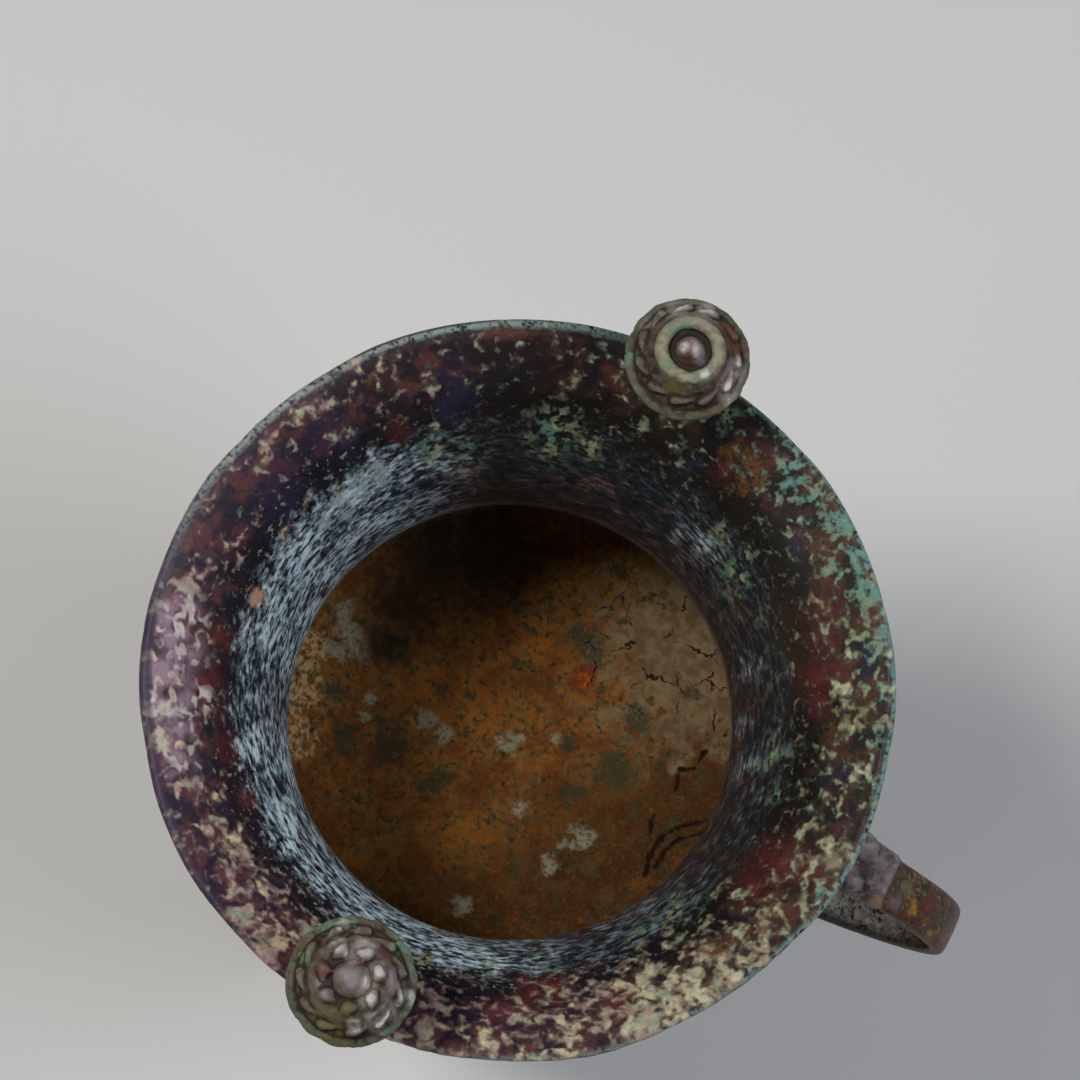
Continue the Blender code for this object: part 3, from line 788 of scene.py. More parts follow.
def roundel():
    """One roundel on the belly in line with the handle, bent to the belly, with its back in the wall."""
    base = body_radius(FRIEZE_HEIGHT)
    shares = [1.0, 0.985] + [1 - 0.035 * i for i in range(1, 28)]
    rings = []
    for k, share in enumerate(shares):
        ring = []
        for i in range(ROUNDEL_STEPS):
            turn = 2 * math.pi * i / ROUNDEL_STEPS
            rise = np.interp(share, *zip(*ROUNDEL_SECTION))
            arm = math.sin(ROUNDEL_ARMS * turn + ARM_CURL * math.pi * share)
            ditch = np.clip((share - ARM_FROM) / ARM_END, 0, 1) * np.clip((ARM_TO - share) / ARM_END, 0, 1)
            rise += ARM_RISE * ditch * np.clip(0.5 + 1.6 * arm, 0, 1)
            up, across = math.cos(turn) * share, math.sin(turn) * share
            off = ROUNDEL_RISE * rise if k else -WALL * ROUNDEL_SINK
            off -= (ROUNDEL_RADIUS * across) ** 2 / (2 * base)
            ring.append(Vector((base + off, ROUNDEL_RADIUS * across, FRIEZE_HEIGHT + ROUNDEL_RADIUS * up)))
        rings.append(ring)
    return loft("roundels", rings)


roundels = roundel()
worked_by(repeated_form, roundels, count=ROUNDEL_PLACES, axis_x=AXIS_X, skip_first=True)

# The whole casting
# All of it came out of one mould in one pour, so the forms run into each other with soft fillets and the
# vessel is one piece of metal.

TRIANGLES = 192000
FILLET_STEPS = 6
# The number that each form's points keep, by which the finish tells them apart
POT, LEGS, HANDLE, FAR_CAP, NEAR_CAP, ROUNDELS = range(6)

vessel = pot
vessel.name = "bronze_vessel"
cast_on = bpy.data.collections.new("cast_on_forms")
bpy.context.scene.collection.children.link(cast_on)
forms = {POT: vessel, LEGS: legs, HANDLE: handle, FAR_CAP: far_cap, NEAR_CAP: near_cap, ROUNDELS: roundels}
for number, form in forms.items():
    tag = form.data.attributes.new("form", "FLOAT", "POINT")
    tag.data.foreach_set("value", [float(number)] * len(form.data.vertices))
    if form is not vessel:
        bpy.context.scene.collection.objects.unlink(form)
        cast_on.objects.link(form)
union = vessel.modifiers.new("cast_in_one", "BOOLEAN")
union.operation = "UNION"
union.solver = "MANIFOLD"
union.operand_type = "COLLECTION"
union.collection = cast_on
plain_mesh(vessel)
for form in list(cast_on.objects):
    bpy.data.objects.remove(form)
bpy.data.collections.remove(cast_on)


def values_of(mesh, name):
    values = np.zeros(len(mesh.vertices), np.float32)
    mesh.attributes[name].data.foreach_get("value", values)
    return values


def mark(mesh, name, values):
    """Keeps a number for each point of the mesh, for the trees and the finish to read."""
    tag = mesh.attributes.get(name) or mesh.attributes.new(name, "FLOAT", "POINT")
    tag.data.foreach_set("value", np.asarray(values, np.float32))


def seen(mesh):
    """Each point as the photograph has it, in mm right + 1j * up of the pot's axis, and its height."""
    places = np.zeros(len(mesh.vertices) * 3, np.float32)
    mesh.vertices.foreach_get("co", places)
    x, y, height = places.reshape(-1, 3).T
    return (x - AXIS_X + 1j * y) * np.exp(1j * HANDLE_TURN) * MM, height


def mark_places(mesh):
    """Marks what is inside the pot, and what belongs to a cap or to the handle."""
    flat, height = seen(mesh)
    radius = abs(flat) / MM
    form = values_of(mesh, "form")
    middle = bowl_points(BELLY_RADIUS + WALL / 2, FLOOR_HEIGHT - FLOOR_WALL / 2, 80)
    middle += shoulder_points(BELLY_RADIUS + WALL / 2, NECK_RADIUS + WALL / 2, 40)[1:]
    for i in range(1, 41):
        inner, outer = inner_flare(FLARE_TURN * i / 40), outer_flare(FLARE_TURN * i / 40)
        middle.append(((inner[0] + outer[0]) / 2, (inner[1] + outer[1]) / 2))
    wall = np.interp(height, [up for _, up in middle], [out for out, _ in middle])
    lip = wall + (height > RIM_HEIGHT - 0.0012) * LIP_ROLL
    inside = (form < POT + 0.5) & (radius < lip) & (height > FLOOR_HEIGHT - FLOOR_WALL / 2)
    mark(mesh, "inside", inside)
    mark(mesh, "on_cap", (form > FAR_CAP - 0.5) & (form < NEAR_CAP + 0.5))
    mark(mesh, "on_handle", abs(form - HANDLE) < 0.5)


def attribute(start, name):
    """A number kept for each point, read back in a geometry tree or in a finish."""
    if start.tree.type == "SHADER":
        return start.node("ShaderNodeAttribute", {"attribute_name": name}, output="Fac")
    return start.node("GeometryNodeInputNamedAttribute", {"data_type": "FLOAT"}, {"Name": name})


def blurred(value, rounds, kind="FLOAT"):
    """A value evened out over so many steps of the mesh."""
    given = {"Value": value, "Iterations": rounds}
    return value.node("GeometryNodeBlurAttribute", {"data_type": kind}, given)


def fillet_tree():
    """Eases the surface where two forms meet, over a few steps of the mesh."""
    start, given = new_tree("easy_fillets", {"Finish": "Material"})
    form = attribute(start, "form")
    seam = (blurred(form, 1) - form).maths("ABSOLUTE").step(0.0, 0.001)
    near = blurred(seam, FILLET_STEPS // 2).step(0.0, 0.4)
    place = start.node("GeometryNodeInputPosition")
    eased = blurred(place, FILLET_STEPS, "FLOAT_VECTOR")
    mixed = start.node("ShaderNodeMix", {"data_type": "VECTOR"}, {0: near, 4: place, 5: eased}, 1)
    moved = start.node("GeometryNodeSetPosition", inputs={"Geometry": given["Geometry"], "Position": mixed})
    return end_tree(moved, given["Finish"])


mark_places(vessel.data)
worked_by(fillet_tree(), vessel)

# The weathering
# Burial has left the skin of the metal uneven: it is pitted, lime crust stands up in drifts round the mouth,
# and rusty soil lies on the bowl's floor, dried, cracked and partly flaked away. Nothing of it is mended.

WAVE_SIZE, WAVE_DEPTH = 0.028, 0.00022
PIT_SIZE, PIT_DEPTH = 0.003, 0.00016
CRUST_HEIGHT = 0.0002
SOIL_SIZE, SOIL_DEPTH = 0.011, 0.0007
FLAKE_DEPTH = 0.0004
WEAR_SIZE, WEAR_DEPTH = 0.0038, 0.00065
HOLLOW_STEPS = 8
SOIL_TOP, SOIL_FADE = FLOOR_HEIGHT + 0.03, 0.01
# Marks lie where the photograph shows them: millimetres right and up of the pot's axis, and half width
LIME_CLUSTERS = (
    (-54, 67, 2.7), (-49, 71, 2.9), (-59, 60, 2.2), (-63, 57, 2.0), (-33, 79, 3.2), (-41, 79, 2.7),
    (-21, 69, 1.7), (-58, 41, 2.2), (-70, 33, 2.7), (-79, 27, 2.9), (-77, 12, 2.0), (-73, -3, 1.7),
    (-85, -1, 3.2), (-85, -15, 3.9), (-81, -26, 2.4), (-75, -28, 2.7), (-70, -38, 2.9), (-67, -41, 2.7),
    (-61, -50, 2.2), (-67, -57, 2.4), (-61, -65, 3.7), (-19, -77, 2.4), (-21, -84, 2.7), (-8, -86, 2.2),
    (-1, -81, 1.7), (12, -83, 2.4), (31, -81, 4.1), (30, -75, 2.9), (39, -75, 3.7), (51, -72, 2.2),
    (58, -66, 2.9), (76, -42, 3.4), (72, -33, 2.4), (71, -26, 2.2), (79, -26, 2.2), (86, -7, 2.7),
    (81, -1, 2.4), (82, 9, 2.2), (82, -9, 2.4), (84, -22, 2.2), (39, 61, 2.7), (46, 52, 1.5), (13, 77, 2.2),
    (25, 68, 1.5), (19, 84, 1.5),
)
# Where a crust lies round the mouth: angle and half width in degrees of the photograph, and how thick
LIME_DRIFTS = ((-104, 66, 0.105), (-50, 34, 0.07), (0, 30, 0.04), (131, 40, 0.018), (195, 55, 0.012))


def eased(value, low, high):
    """What Field.step does, for numbers: 0 at low, 1 at high and beyond, and smooth between."""
    share = np.clip((value - low) / (high - low), 0, 1)
    return share * share * (3 - 2 * share)


def bearing(flat, degrees, width):
    """1 where a place lies in the given direction, fading to 0 a width away on either side."""
    swing = np.cos(np.angle(flat) - math.radians(degrees))
    return eased(swing, math.cos(math.radians(width)), 1.0)


def closeness(flat, marks):
    """1 in the middle of any of the marks, falling evenly to 0 at three half widths away."""
    away = [abs(flat - complex(right, up)) / size for right, up, size in marks]
    return np.clip(1 - np.min(away, axis=0) / 3, 0, 1)


def drifted(flat, drifts):
    """How thick a crust lies that has drifted in several directions."""
    return sum(bearing(flat, at, width) * thick for at, width, thick in drifts)


def mark_lime(mesh):
    """Marks how thick the lime lies: in drifts and clusters, from the lip down to the throat."""
    flat, height = seen(mesh)
    depth = RIM_HEIGHT - height
    thick = eased(closeness(flat, LIME_CLUSTERS), 0.4, 0.85) * 0.11 + drifted(flat, LIME_DRIFTS)
    mark(mesh, "lime", thick - eased(depth, 0.009, 0.016) * 0.07 - eased(depth, 0.018, 0.032) * 0.3)


class Skin:
    """The noises that the marks of the skin share, at a place on it."""

    def __init__(self, place):
        self.place = place
        self.height = place.parted()[2]
        self.clouds = place.noise(0.009, 3.0, 0.6, 4.0)
        self.tongues = place.noise(0.0062, 2.0, 0.6, 14.0)
        self.curl = place.noise(0.0034, 2.0, 0.6, 7.7, 0.6)
        self.flecks = place.noise(0.0018, 2.0, 0.6, 41.0)
        self.blobs = place.noise(0.0032, 1.0, 0.5, 21.0, 0.5)

    def lime(self, low=0.57, high=0.76):
        """Lime crust, as soft blobs and grains. Lower bounds take in the thin edge round it."""
        grown = self.blobs * 0.6 + self.flecks * 0.28 + self.tongues * 0.12 + (self.clouds - 0.5) * 0.2
        return (grown + attribute(self.place, "lime")).step(low, high)

    def on_floor(self):
        """1 on the bowl's floor, fading up its sides."""
        return self.height.step(SOIL_TOP, SOIL_TOP - SOIL_FADE)

    def flakes(self):
        """Where the bed of soil has flaked away, with ragged edges."""
        return (self.tongues * 0.7 + self.curl * 0.3).step(0.565, 0.59)


def weathering_tree():
    """Moves the skin along its normals, and keeps how hollow or how proud each place is."""
    inputs = {"Wave Depth": "Float", "Pit Depth": "Float", "Crust Height": "Float", "Soil Depth": "Float"}
    start, given = new_tree("weathering", {**inputs, "Finish": "Material"})
    place = start.node("GeometryNodeInputPosition")
    normal = start.node("GeometryNodeInputNormal")
    lean = blurred(place, HOLLOW_STEPS, "FLOAT_VECTOR").vectors("SUBTRACT", place)
    tagged = with_number(given["Geometry"], "hollow", lean.vectors("DOT_PRODUCT", normal, "Value"))
    skin = Skin(place)
    inside = attribute(start, "inside")
    floor = skin.on_floor() * inside
    lift = (place.noise(WAVE_SIZE, 2.0, 0.5) - 0.5) * 2.0 * given["Wave Depth"]
    lift = lift - place.noise(PIT_SIZE, 3.0, 0.6, 1.9).step(0.56, 0.7) * given["Pit Depth"]
    lift = lift + skin.lime() * inside * given["Crust Height"]
    wear = (place.noise(WEAR_SIZE, 2.0, 0.5, 6.0) - 0.5) * 2.0
    lift = lift + wear * WEAR_DEPTH * attribute(start, "on_cap")
    soil = (place.noise(SOIL_SIZE, 4.0, 0.62, 8.0) - 0.5) * 2.0
    lift = lift + soil * floor * given["Soil Depth"] - skin.flakes() * floor * FLAKE_DEPTH
    lift = lift * skin.height.step(0.0, 0.002)
    offset = start.node("ShaderNodeVectorMath", {"operation": "SCALE"}, {0: normal, "Scale": lift})
    worn = start.node("GeometryNodeSetPosition", inputs={"Geometry": tagged, "Offset": offset})
    return end_tree(worn, given["Finish"])


mark_lime(vessel.data)
worked_by(
    weathering_tree(), vessel, wave_depth=WAVE_DEPTH, pit_depth=PIT_DEPTH, crust_height=CRUST_HEIGHT,
    soil_depth=SOIL_DEPTH,
)
vessel.data.calc_loop_triangles()
lighter = vessel.modifiers.new("fewer_triangles", "DECIMATE")
lighter.ratio = TRIANGLES / len(vessel.data.loop_triangles)
plain_mesh(vessel)
vessel.data.shade_smooth()

# The finish of the bronze
# What the metal has turned to: brown and violet-black patina, red cuprous oxide where that has worn through,
# blue-grey film in the throat, turquoise and cream crusts at the mouth, and rusty soil on the bowl's floor.
# Some of the colour also paints light and shade: shade at the top of the mouth and on the floor's upper left,
# a sheen on the left of the lip, highlights on the caps and light on the handle's lower arm.

MARKS = {
    "red": (
        (-74, 13, 2.7), (-76, 2, 2.9), (-76, -5, 2.4), (-71, -15, 2.9), (-66, -27, 2.2), (3, -73, 3.2),
        (-5, -79, 2.4), (9, -73, 3.4), (24, -77, 2.7), (64, -42, 4.6), (58, -49, 3.4), (59, -59, 2.2),
        (77, 20, 3.6), (76, 13, 2.9), (76, 4, 3.6), (75, -3, 2.4), (52, 56, 2.2), (-30, 66, 2.0),
    ),
    "violet": (
        (-60, 49, 5.2), (-46, 64, 4.6), (-16, 75, 4.6), (43, 58, 2.2), (70, 36, 2.0), (87, 9, 2.2),
        (-76, -39, 2.7), (-63, -50, 3.2), (-81, -32, 2.0), (79, -21, 2.6), (86, 3, 1.8), (-55, 35, 2.9),
    ),
    # The lilac marks on the left of the lip: pale lilac crust, and a painted sheen that stands for the
    # light's reflection there
    "lilac_and_sheen": (
        (-84, 17, 3.6), (-83, 9, 3.4), (-86, 2, 3.6), (-86, -6, 3.4), (-85, -13, 3.6), (-83, -20, 3.0),
        (-79, -3, 2.0),
    ),
    "turquoise": (
        (67, 50, 2.2), (75, 46, 2.4), (79, 39, 2.4), (77, 29, 2.0), (86, 23, 2.6), (67, 57, 2.2),
        (84, 31, 2.2), (88, 12, 1.8), (74, -52, 2.4), (55, -72, 2.2), (36, -84, 2.0), (4, -90, 2.2),
        (-20, -89, 1.8),
    ),
    "green": (
        (9, 68, 4.2), (18, 65, 2.2), (-21, 64, 2.4), (-12, 63, 2.4), (57, 33, 3.2), (52, 42, 1.7),
        (39, -54, 3.6), (45, -56, 2.4), (30, -58, 2.4), (66, -13, 2.4), (63, -16, 1.9), (31, 67, 1.7),
        (53, 68, 2.2), (34, 70, 1.7), (8, -67, 3.0), (-9, -68, 2.6), (-22, -67, 2.4), (72, -20, 2.2),
        (64, -24, 2.0),
    ),
    "orange": ((58, 54, 3.2), (48, -65, 2.7), (69, 28, 1.2), (54, 59, 2.4), (-78, -14, 1.6)),
    "brown": ((67, 7, 7.5), (65, 19, 5.5), (53, -44, 4.2)),
    "streak": ((-35, 57, 2.2), (-40, 54, 2.4), (-44, 49, 2.2), (-48, 45, 1.8)),
    "haze": (
        (59, -3.5, 1.8), (60.2, -15, 2.4), (51.7, 38.6, 2.4), (44, 45, 2.2), (60.5, 11.5, 2.2),
        (48, 41.8, 2.4),
    ),
    "peach": ((-65, 24, 1.5),),
    "pale": (
        (-22, 13, 2.8), (-15, 9, 2.5), (2, 7, 3.4), (6, 9, 1.8), (-43, 37, 4.8), (-48, 33, 2.6),
        (-39, 31, 2.4), (24, -20, 2.8), (20, -22, 1.8), (6, -12, 2.2), (14, -28, 2.4), (-11, -40, 2.3),
        (-37, 19, 2.0), (-39, 14, 1.7), (16, 8, 1.7), (-45, 43, 2.5),
    ),
    "olive": (
        (-46, 20, 2.5), (-43, 8, 3.4), (-31, 7, 3.9), (-46, 11, 2.3), (40, 13, 3.0), (33, -1, 4.6),
        (20, -7, 3.0), (19, 7, 2.0), (25, 35, 4.5), (5, 46, 2.5), (-19, -5, 3.4), (-17, 22, 2.3),
        (-35, 13, 1.7), (-29, 36, 3.4), (29, 22, 1.7), (54, 20, 2.0),
    ),
    "orange_soil": (
        (37, 22, 3.4), (29, 28, 3.9), (-6, 14, 5.6), (40, -30, 3.9), (20, 24, 3.0), (-20, 24, 4.5),
        (-8, -20, 5.0), (10, 36, 4.0),
    ),
    "ochre": ((-58, 22, 6.0), (-60, 8, 6.0), (-54, 32, 4.0)),
    "ember": ((23.9, 25.2, 2.4),),
    # Painted shadow on the upper left of the bowl's floor, where the neck and the far cap cast their shade
    "painted_floor_shadow": ((-19, 58, 10), (-28, 46, 7), (-6, 60, 9), (-33, 35, 4)),
    "dust": ((58, 33, 18),),
    # Pale spots on the caps' lobes and the far cap's knob: partly worn metal, partly painted highlights
    "cap_pale": (
        (-39.2, -69.3, 1.4), (-42.7, -67, 1.3), (-36.6, -67.7, 1.5), (-33.9, -72.9, 1.4), (-35.4, -76.1, 1.4),
        (-36, -79.3, 1.5), (-33.9, -84.5, 1.6), (-30.7, -82, 1.5), (-38.8, -85.2, 1.2), (-26.8, -78.7, 1.3),
        (-41.8, -62.1, 1.1), (36.9, 86.6, 1.7), (44, 86.4, 1.5), (51.1, 72.2, 1.5), (48.8, 66, 1.7),
        (41.6, 73.5, 1.3), (37.7, 74.7, 0.9), (42.8, 69, 0.9),
    ),
    "cap_lilac_and_sheen": (
        (37, 86, 3.8), (43, 85, 3.0), (40.2, 75.2, 2.6), (29.7, 84.5, 2.2), (50.5, 69.5, 2.2),
        (-39.9, -74.5, 2.8), (-36.6, -67.7, 2.4), (-29.7, -75, 1.8), (-46.2, -75.3, 1.2), (-45.2, -78.7, 1.2),
    ),
    "cap_green": (
        (23.9, 75.3, 2.0), (25.4, 65.3, 2.0), (38.1, 81.2, 1.4), (35, 80, 1.3), (42.8, 69, 1.5),
        (33.8, 71.4, 1.3), (-50.7, -69, 2.0), (-47, -62, 2.2), (-41, -61, 2.2), (-28, -66, 2.6),
        (-25, -72, 2.2), (-26, -79, 2.0), (-26.5, -85, 2.4), (-30, -89, 2.2), (-36.8, -73.7, 0.9),
    ),
    "cap_olive": (
        (-44.6, -86, 2.4), (-42.5, -87.5, 1.8), (-47.8, -83.6, 1.8), (-41.1, -80.9, 1.6), (-50.8, -67.1, 1.2),
        (35.3, 66.1, 1.6),
    ),
    "cap_red": (
        (37.7, 74.6, 1.3), (39.6, 72.4, 1.3), (49.6, 81.2, 2.6), (51, 76.9, 2.2), (46, 62, 2.2),
        (-46, -73, 1.8), (-38, -71, 1.2), (-31, -68, 1.6),
    ),
    "ochre_lobe": ((90.2, -50.6, 1.1),),
    "gold": (
        (100.6, -47.6, 0.55), (101.3, -49.6, 0.7), (101.2, -51.6, 0.95), (106.3, -56.8, 0.6),
        (103.2, -58.3, 0.6),
    ),
    "strap_green": (
        (99.5, -46.3, 1.2), (95.0, -54.3, 0.8), (98.2, -55.6, 0.8), (105.9, -61.8, 1.3), (104, -47, 0.5),
    ),
    "strap_lilac_and_sheen": ((96.0, -50.0, 1.3), (92.6, -54, 0.9)),
    "head_pale": (
        (88.5, -34.9, 0.8), (87.4, -38.2, 1.8), (90.6, -41.2, 1.5), (93.6, -44.4, 1.2), (84.3, -46.6, 1.1),
        (92.2, -47.5, 0.9),
    ),
    "head_dark": ((86.4, -44.3, 0.9), (87.2, -47.2, 1.0), (87.4, -50.4, 1.1), (82.4, -50.2, 1.6)),
}
# Where the blue-grey film lies round the throat, as LIME_DRIFTS has it. Its weight by side is partly the
# film's own and partly painted light, which makes the throat paler on its left and lower left
FILM_AND_LIGHT_DRIFTS = ((230, 55, 1.0), (138, 42, 0.85), (185, 50, 0.5), (280, 45, 0.35), (20, 75, 0.05))
# The cracks that show best in the soil, from bend to bend
CRACKS = (
    ((58.2, 3.3), (55.4, -1.1), (51.3, -1.4), (50.1, -7.1)),
    ((41.2, -31.4), (42.5, -26.0), (45.4, -20.9), (50.2, -18.0), (59.7, -16.2)),
    ((44.2, -29.2), (46.5, -24.6), (50.8, -21.4), (58.8, -19.4)),
    ((42.8, -19.2), (43.6, -14.6)),
)


def mark_finish(mesh):
    """Marks how near each point is to the marks of every kind, and in which zones of the mouth it lies."""
    flat, height = seen(mesh)
    depth = (RIM_HEIGHT - height) * MM
    edge = values_of(mesh, "edge")
    for name, marks in MARKS.items():
        mark(mesh, name, closeness(flat, marks))
    mark(mesh, "warm", bearing(flat, 15, 130))
    film = drifted(flat, FILM_AND_LIGHT_DRIFTS) * (1 - eased(closeness(flat, MARKS["brown"]), 0.2, 0.7) * 0.9)
    film += eased(closeness(flat, MARKS["haze"]), 0.35, 0.85) * 0.34
    mark(mesh, "film", np.clip(film + 0.04, 0, 1))
    wet = bearing(flat, 18, 42) * eased(depth, 9, 1) * 0.055
    wet += bearing(flat, -60, 120) * eased(depth, 4.5, 0.5) * 0.035
    wet += eased(closeness(flat, MARKS["turquoise"]), 0.35, 0.85) * 0.12
    mark(mesh, "wet", wet - eased(depth, 10, 20))
    lip = bearing(flat, -20, 120) * eased(edge, 1.5, 0.5) + bearing(flat, 115, 55) * eased(edge, 2.8, 1.8)
    mark(mesh, "pale_lip", np.clip(lip, 0, 1))
    mark(mesh, "glossy", bearing(flat, 168, 75) * eased(edge, 3.3, 2.7))
    # Painted shade: how much darker the top of the mouth is made, standing for the shade that falls there
    mark(mesh, "dark_top", bearing(flat, 80, 66))
    mark(mesh, "dim", eased(flat.real * 0.55 - flat.imag, 2, 42))
    post_at = POST_RADIUS_FROM_AXIS * MM * np.exp(1j * (POST_LINE_TURN + HANDLE_TURN))
    from_far, from_near = abs(flat - post_at), abs(flat + post_at)
    mark(mesh, "ring", eased(from_far, 4.6, 5.4) * eased(from_far, 9.0, 8.2))
    mark(mesh, "flange", eased(np.minimum(from_far, from_near), 13.0, 14.6))


def between(amount, low, high):
    """A colour between two by an amount. Either may be a plain colour."""
    ends = [(*end, 1.0) if isinstance(end, tuple) else end for end in (low, high)]
    return amount.node("ShaderNodeMix", {"data_type": "RGBA"}, {0: amount, 6: ends[0], 7: ends[1]}, 2)


class Coat:
    """Colour and roughness of the surface, as one layer after another is laid on."""

    def __init__(self, colour, rough):
        self.colour, self.rough = colour, rough

    def lay(self, amount, colour, rough):
        self.colour = between(amount, self.colour, colour)
        self.rough = amount.node("ShaderNodeMix", inputs={0: amount, 2: self.rough, 3: rough})


def stroke(flat, begin, end):
    """Distance from a straight line between two places."""
    run = Vector(end) - Vector(begin)
    arm = flat.vectors("SUBTRACT", (*begin, 0.0))
    share = arm.vectors("DOT_PRODUCT", (*(run / run.length_squared), 0.0), "Value")
    held = share.node("ShaderNodeClamp", inputs={0: share})
    foot = held.node("ShaderNodeVectorMath", {"operation": "SCALE"}, {0: (*run, 0.0), "Scale": held})
    return arm.vectors("DISTANCE", foot, "Value")


mark_finish(vessel.data)
finish.use_nodes = True
finish.node_tree.nodes.remove(finish.node_tree.nodes["Principled BSDF"])
start = Field(finish.node_tree)
place = start.node("ShaderNodeTexCoord", output="Object")
noises = Skin(place)
clouds, tongues, curl = noises.clouds, noises.tongues, noises.curl
flecks, blobs = noises.flecks, noises.blobs
grit = place.noise(0.0011, 2.0, 0.65, 57.0)
streaks = place.vectors("MULTIPLY", (1.0, 1.0, 2.3)).noise(0.003, 2.0, 0.6, 23.0)
depth = RIM_HEIGHT - noises.height
ragged = (curl - 0.5) * 0.9 + (flecks - 0.5) * 0.6
torn = (tongues - 0.5) * 1.1 + (curl - 0.5) * 0.9 + (flecks - 0.5) * 0.3
inside, hollow, on_cap, on_handle, warm, film, dark_top, dim, lilac_and_sheen, glossy, pale_lip, wet_at = (
    attribute(start, name) for name in (
        "inside", "hollow", "on_cap", "on_handle", "warm", "film", "dark_top", "dim", "lilac_and_sheen", "glossy",
        "pale_lip", "wet",
    )
)


def marked(name, low=0.5, high=0.78, edge=ragged):
    """1 within the marks of a kind, with ragged edges."""
    return (attribute(start, name) - edge).step(low, high)


def patchy(*colours):
    """Two colours in patches about the size of the tongues."""
    return between(tongues.step(0.42, 0.58), *colours)


# In the mouth: violet-black and maroon patina on the left, olive-black and brown to the right, darkest in a
# band below the lip, with red where it has worn
mouth = Coat(
    between(
        (clouds * 0.6 + curl * 0.4).step(0.42, 0.6),
        between(warm, (0.018, 0.014, 0.028), (0.013, 0.012, 0.01)),
        between(warm, (0.092, 0.032, 0.036), (0.06, 0.026, 0.016)),
    ),
    tongues.step(0.35, 0.65) * 0.1 + 0.4,
)
mouth.lay((tongues * 0.7 + flecks * 0.3).step(0.52, 0.62) * 0.55, (0.046, 0.026, 0.015), 0.42)
mouth.lay((curl * 0.6 + grit * 0.4).step(0.56, 0.66) * 0.45, (0.01, 0.01, 0.012), 0.4)
ridge = (curl - 0.5).maths("ABSOLUTE")
mouth.lay(ridge.step(0.06, 0.02) * clouds.step(0.48, 0.58) * 0.55, (0.105, 0.03, 0.022), 0.4)
# Painted shade over the top of the mouth
mouth.lay((tongues * 0.6 + clouds * 0.4).step(0.6, 0.44) * dark_top * 0.85, (0.014, 0.012, 0.011), 0.42)
wander = depth + (tongues - 0.5) * 0.02 + (flecks - 0.5) * 0.006
band = wander.step(0.0075, 0.0125) * wander.step(0.042, 0.026)
mouth.lay(band * 0.92, between(warm, (0.009, 0.009, 0.012), (0.008, 0.006, 0.004)), 0.36)
mouth.lay(marked("brown", 0.35, 0.85) * 0.9, (0.022, 0.012, 0.006), 0.5)
mouth.lay(marked("violet", 0.3, 1.0, torn) * 0.8, (0.019, 0.018, 0.04), 0.34)
deeper = (curl * 0.5 + tongues * 0.5).step(0.4, 0.6)
worn_red = between(deeper, (0.044, 0.013, 0.013), (0.125, 0.021, 0.019))
mouth.lay(marked("red", 0.25, 1.0, torn) * 0.9, worn_red, 0.42)
mouth.lay(marked("orange", 0.5, 0.8, torn) * grit.step(0.66, 0.45) * 0.8, (0.15, 0.06, 0.016), 0.5)
# A painted lilac sheen on the left of the lip, standing for the light's reflection
sheen = lilac_and_sheen.step(0.25, 0.8) * (clouds * 0.5 + tongues * 0.5).step(0.6, 0.42)
mouth.lay(sheen * 0.9, (0.3, 0.2, 0.255), 0.38)
# Pale pinkish spots there: partly pale crust, partly painted reflection
pale_bloom_and_reflection = (blobs * 0.65 + flecks * 0.15 + clouds * 0.2).step(0.475, 0.63)
mouth.lay(lilac_and_sheen.step(0.1, 0.6) * pale_bloom_and_reflection * 0.95, (0.7, 0.66, 0.62), 0.45)

# The throat: blue-grey film streaked round the neck and broken by dark clumps, pale at the neck's own edge.
# It is paler on the throat's left and lower left, partly the film's own colour and partly painted light
film_edge = (depth + (curl - 0.5) * 0.022).step(0.016, 0.026)
mouth.lay(film_edge * (film * 0.75 + 0.1) * streaks.step(0.34, 0.52), (0.07, 0.09, 0.105), 0.5)
dashes = (streaks * 0.6 + clouds * 0.25 + grit * 0.15 + film * 0.07).step(0.49, 0.61) * film_edge
mouth.lay(dashes * (film * 0.93 + 0.05), (0.215, 0.285, 0.33), 0.55)
bright = (streaks * 0.5 + tongues * 0.2 + grit * 0.1 + clouds * 0.2 + film * 0.08).step(0.56, 0.665)
mouth.lay(bright * film_edge * (film * 0.94 + 0.04), (0.56, 0.69, 0.74), 0.55)
clumps = (curl * 0.35 + tongues * 0.4 + streaks * 0.25 + film * 0.03).step(0.5, 0.435)
mouth.lay(clumps * film_edge * 0.85, (0.012, 0.016, 0.022), 0.4)
grains = (grit * 0.35 + flecks * 0.65).step(0.575, 0.66) * (film * 0.65 + 0.12)
mouth.lay(grains * wander.step(0.009, 0.014) * wander.step(0.036, 0.024), (0.23, 0.29, 0.26), 0.6)
mouth.lay(marked("streak") * grit.step(0.64, 0.45) * 0.85, (0.3, 0.37, 0.35), 0.55)
mouth.lay(depth.step(0.0584, 0.0594) * (film * 0.5 + grit * 0.5), (0.23, 0.235, 0.22), 0.6)

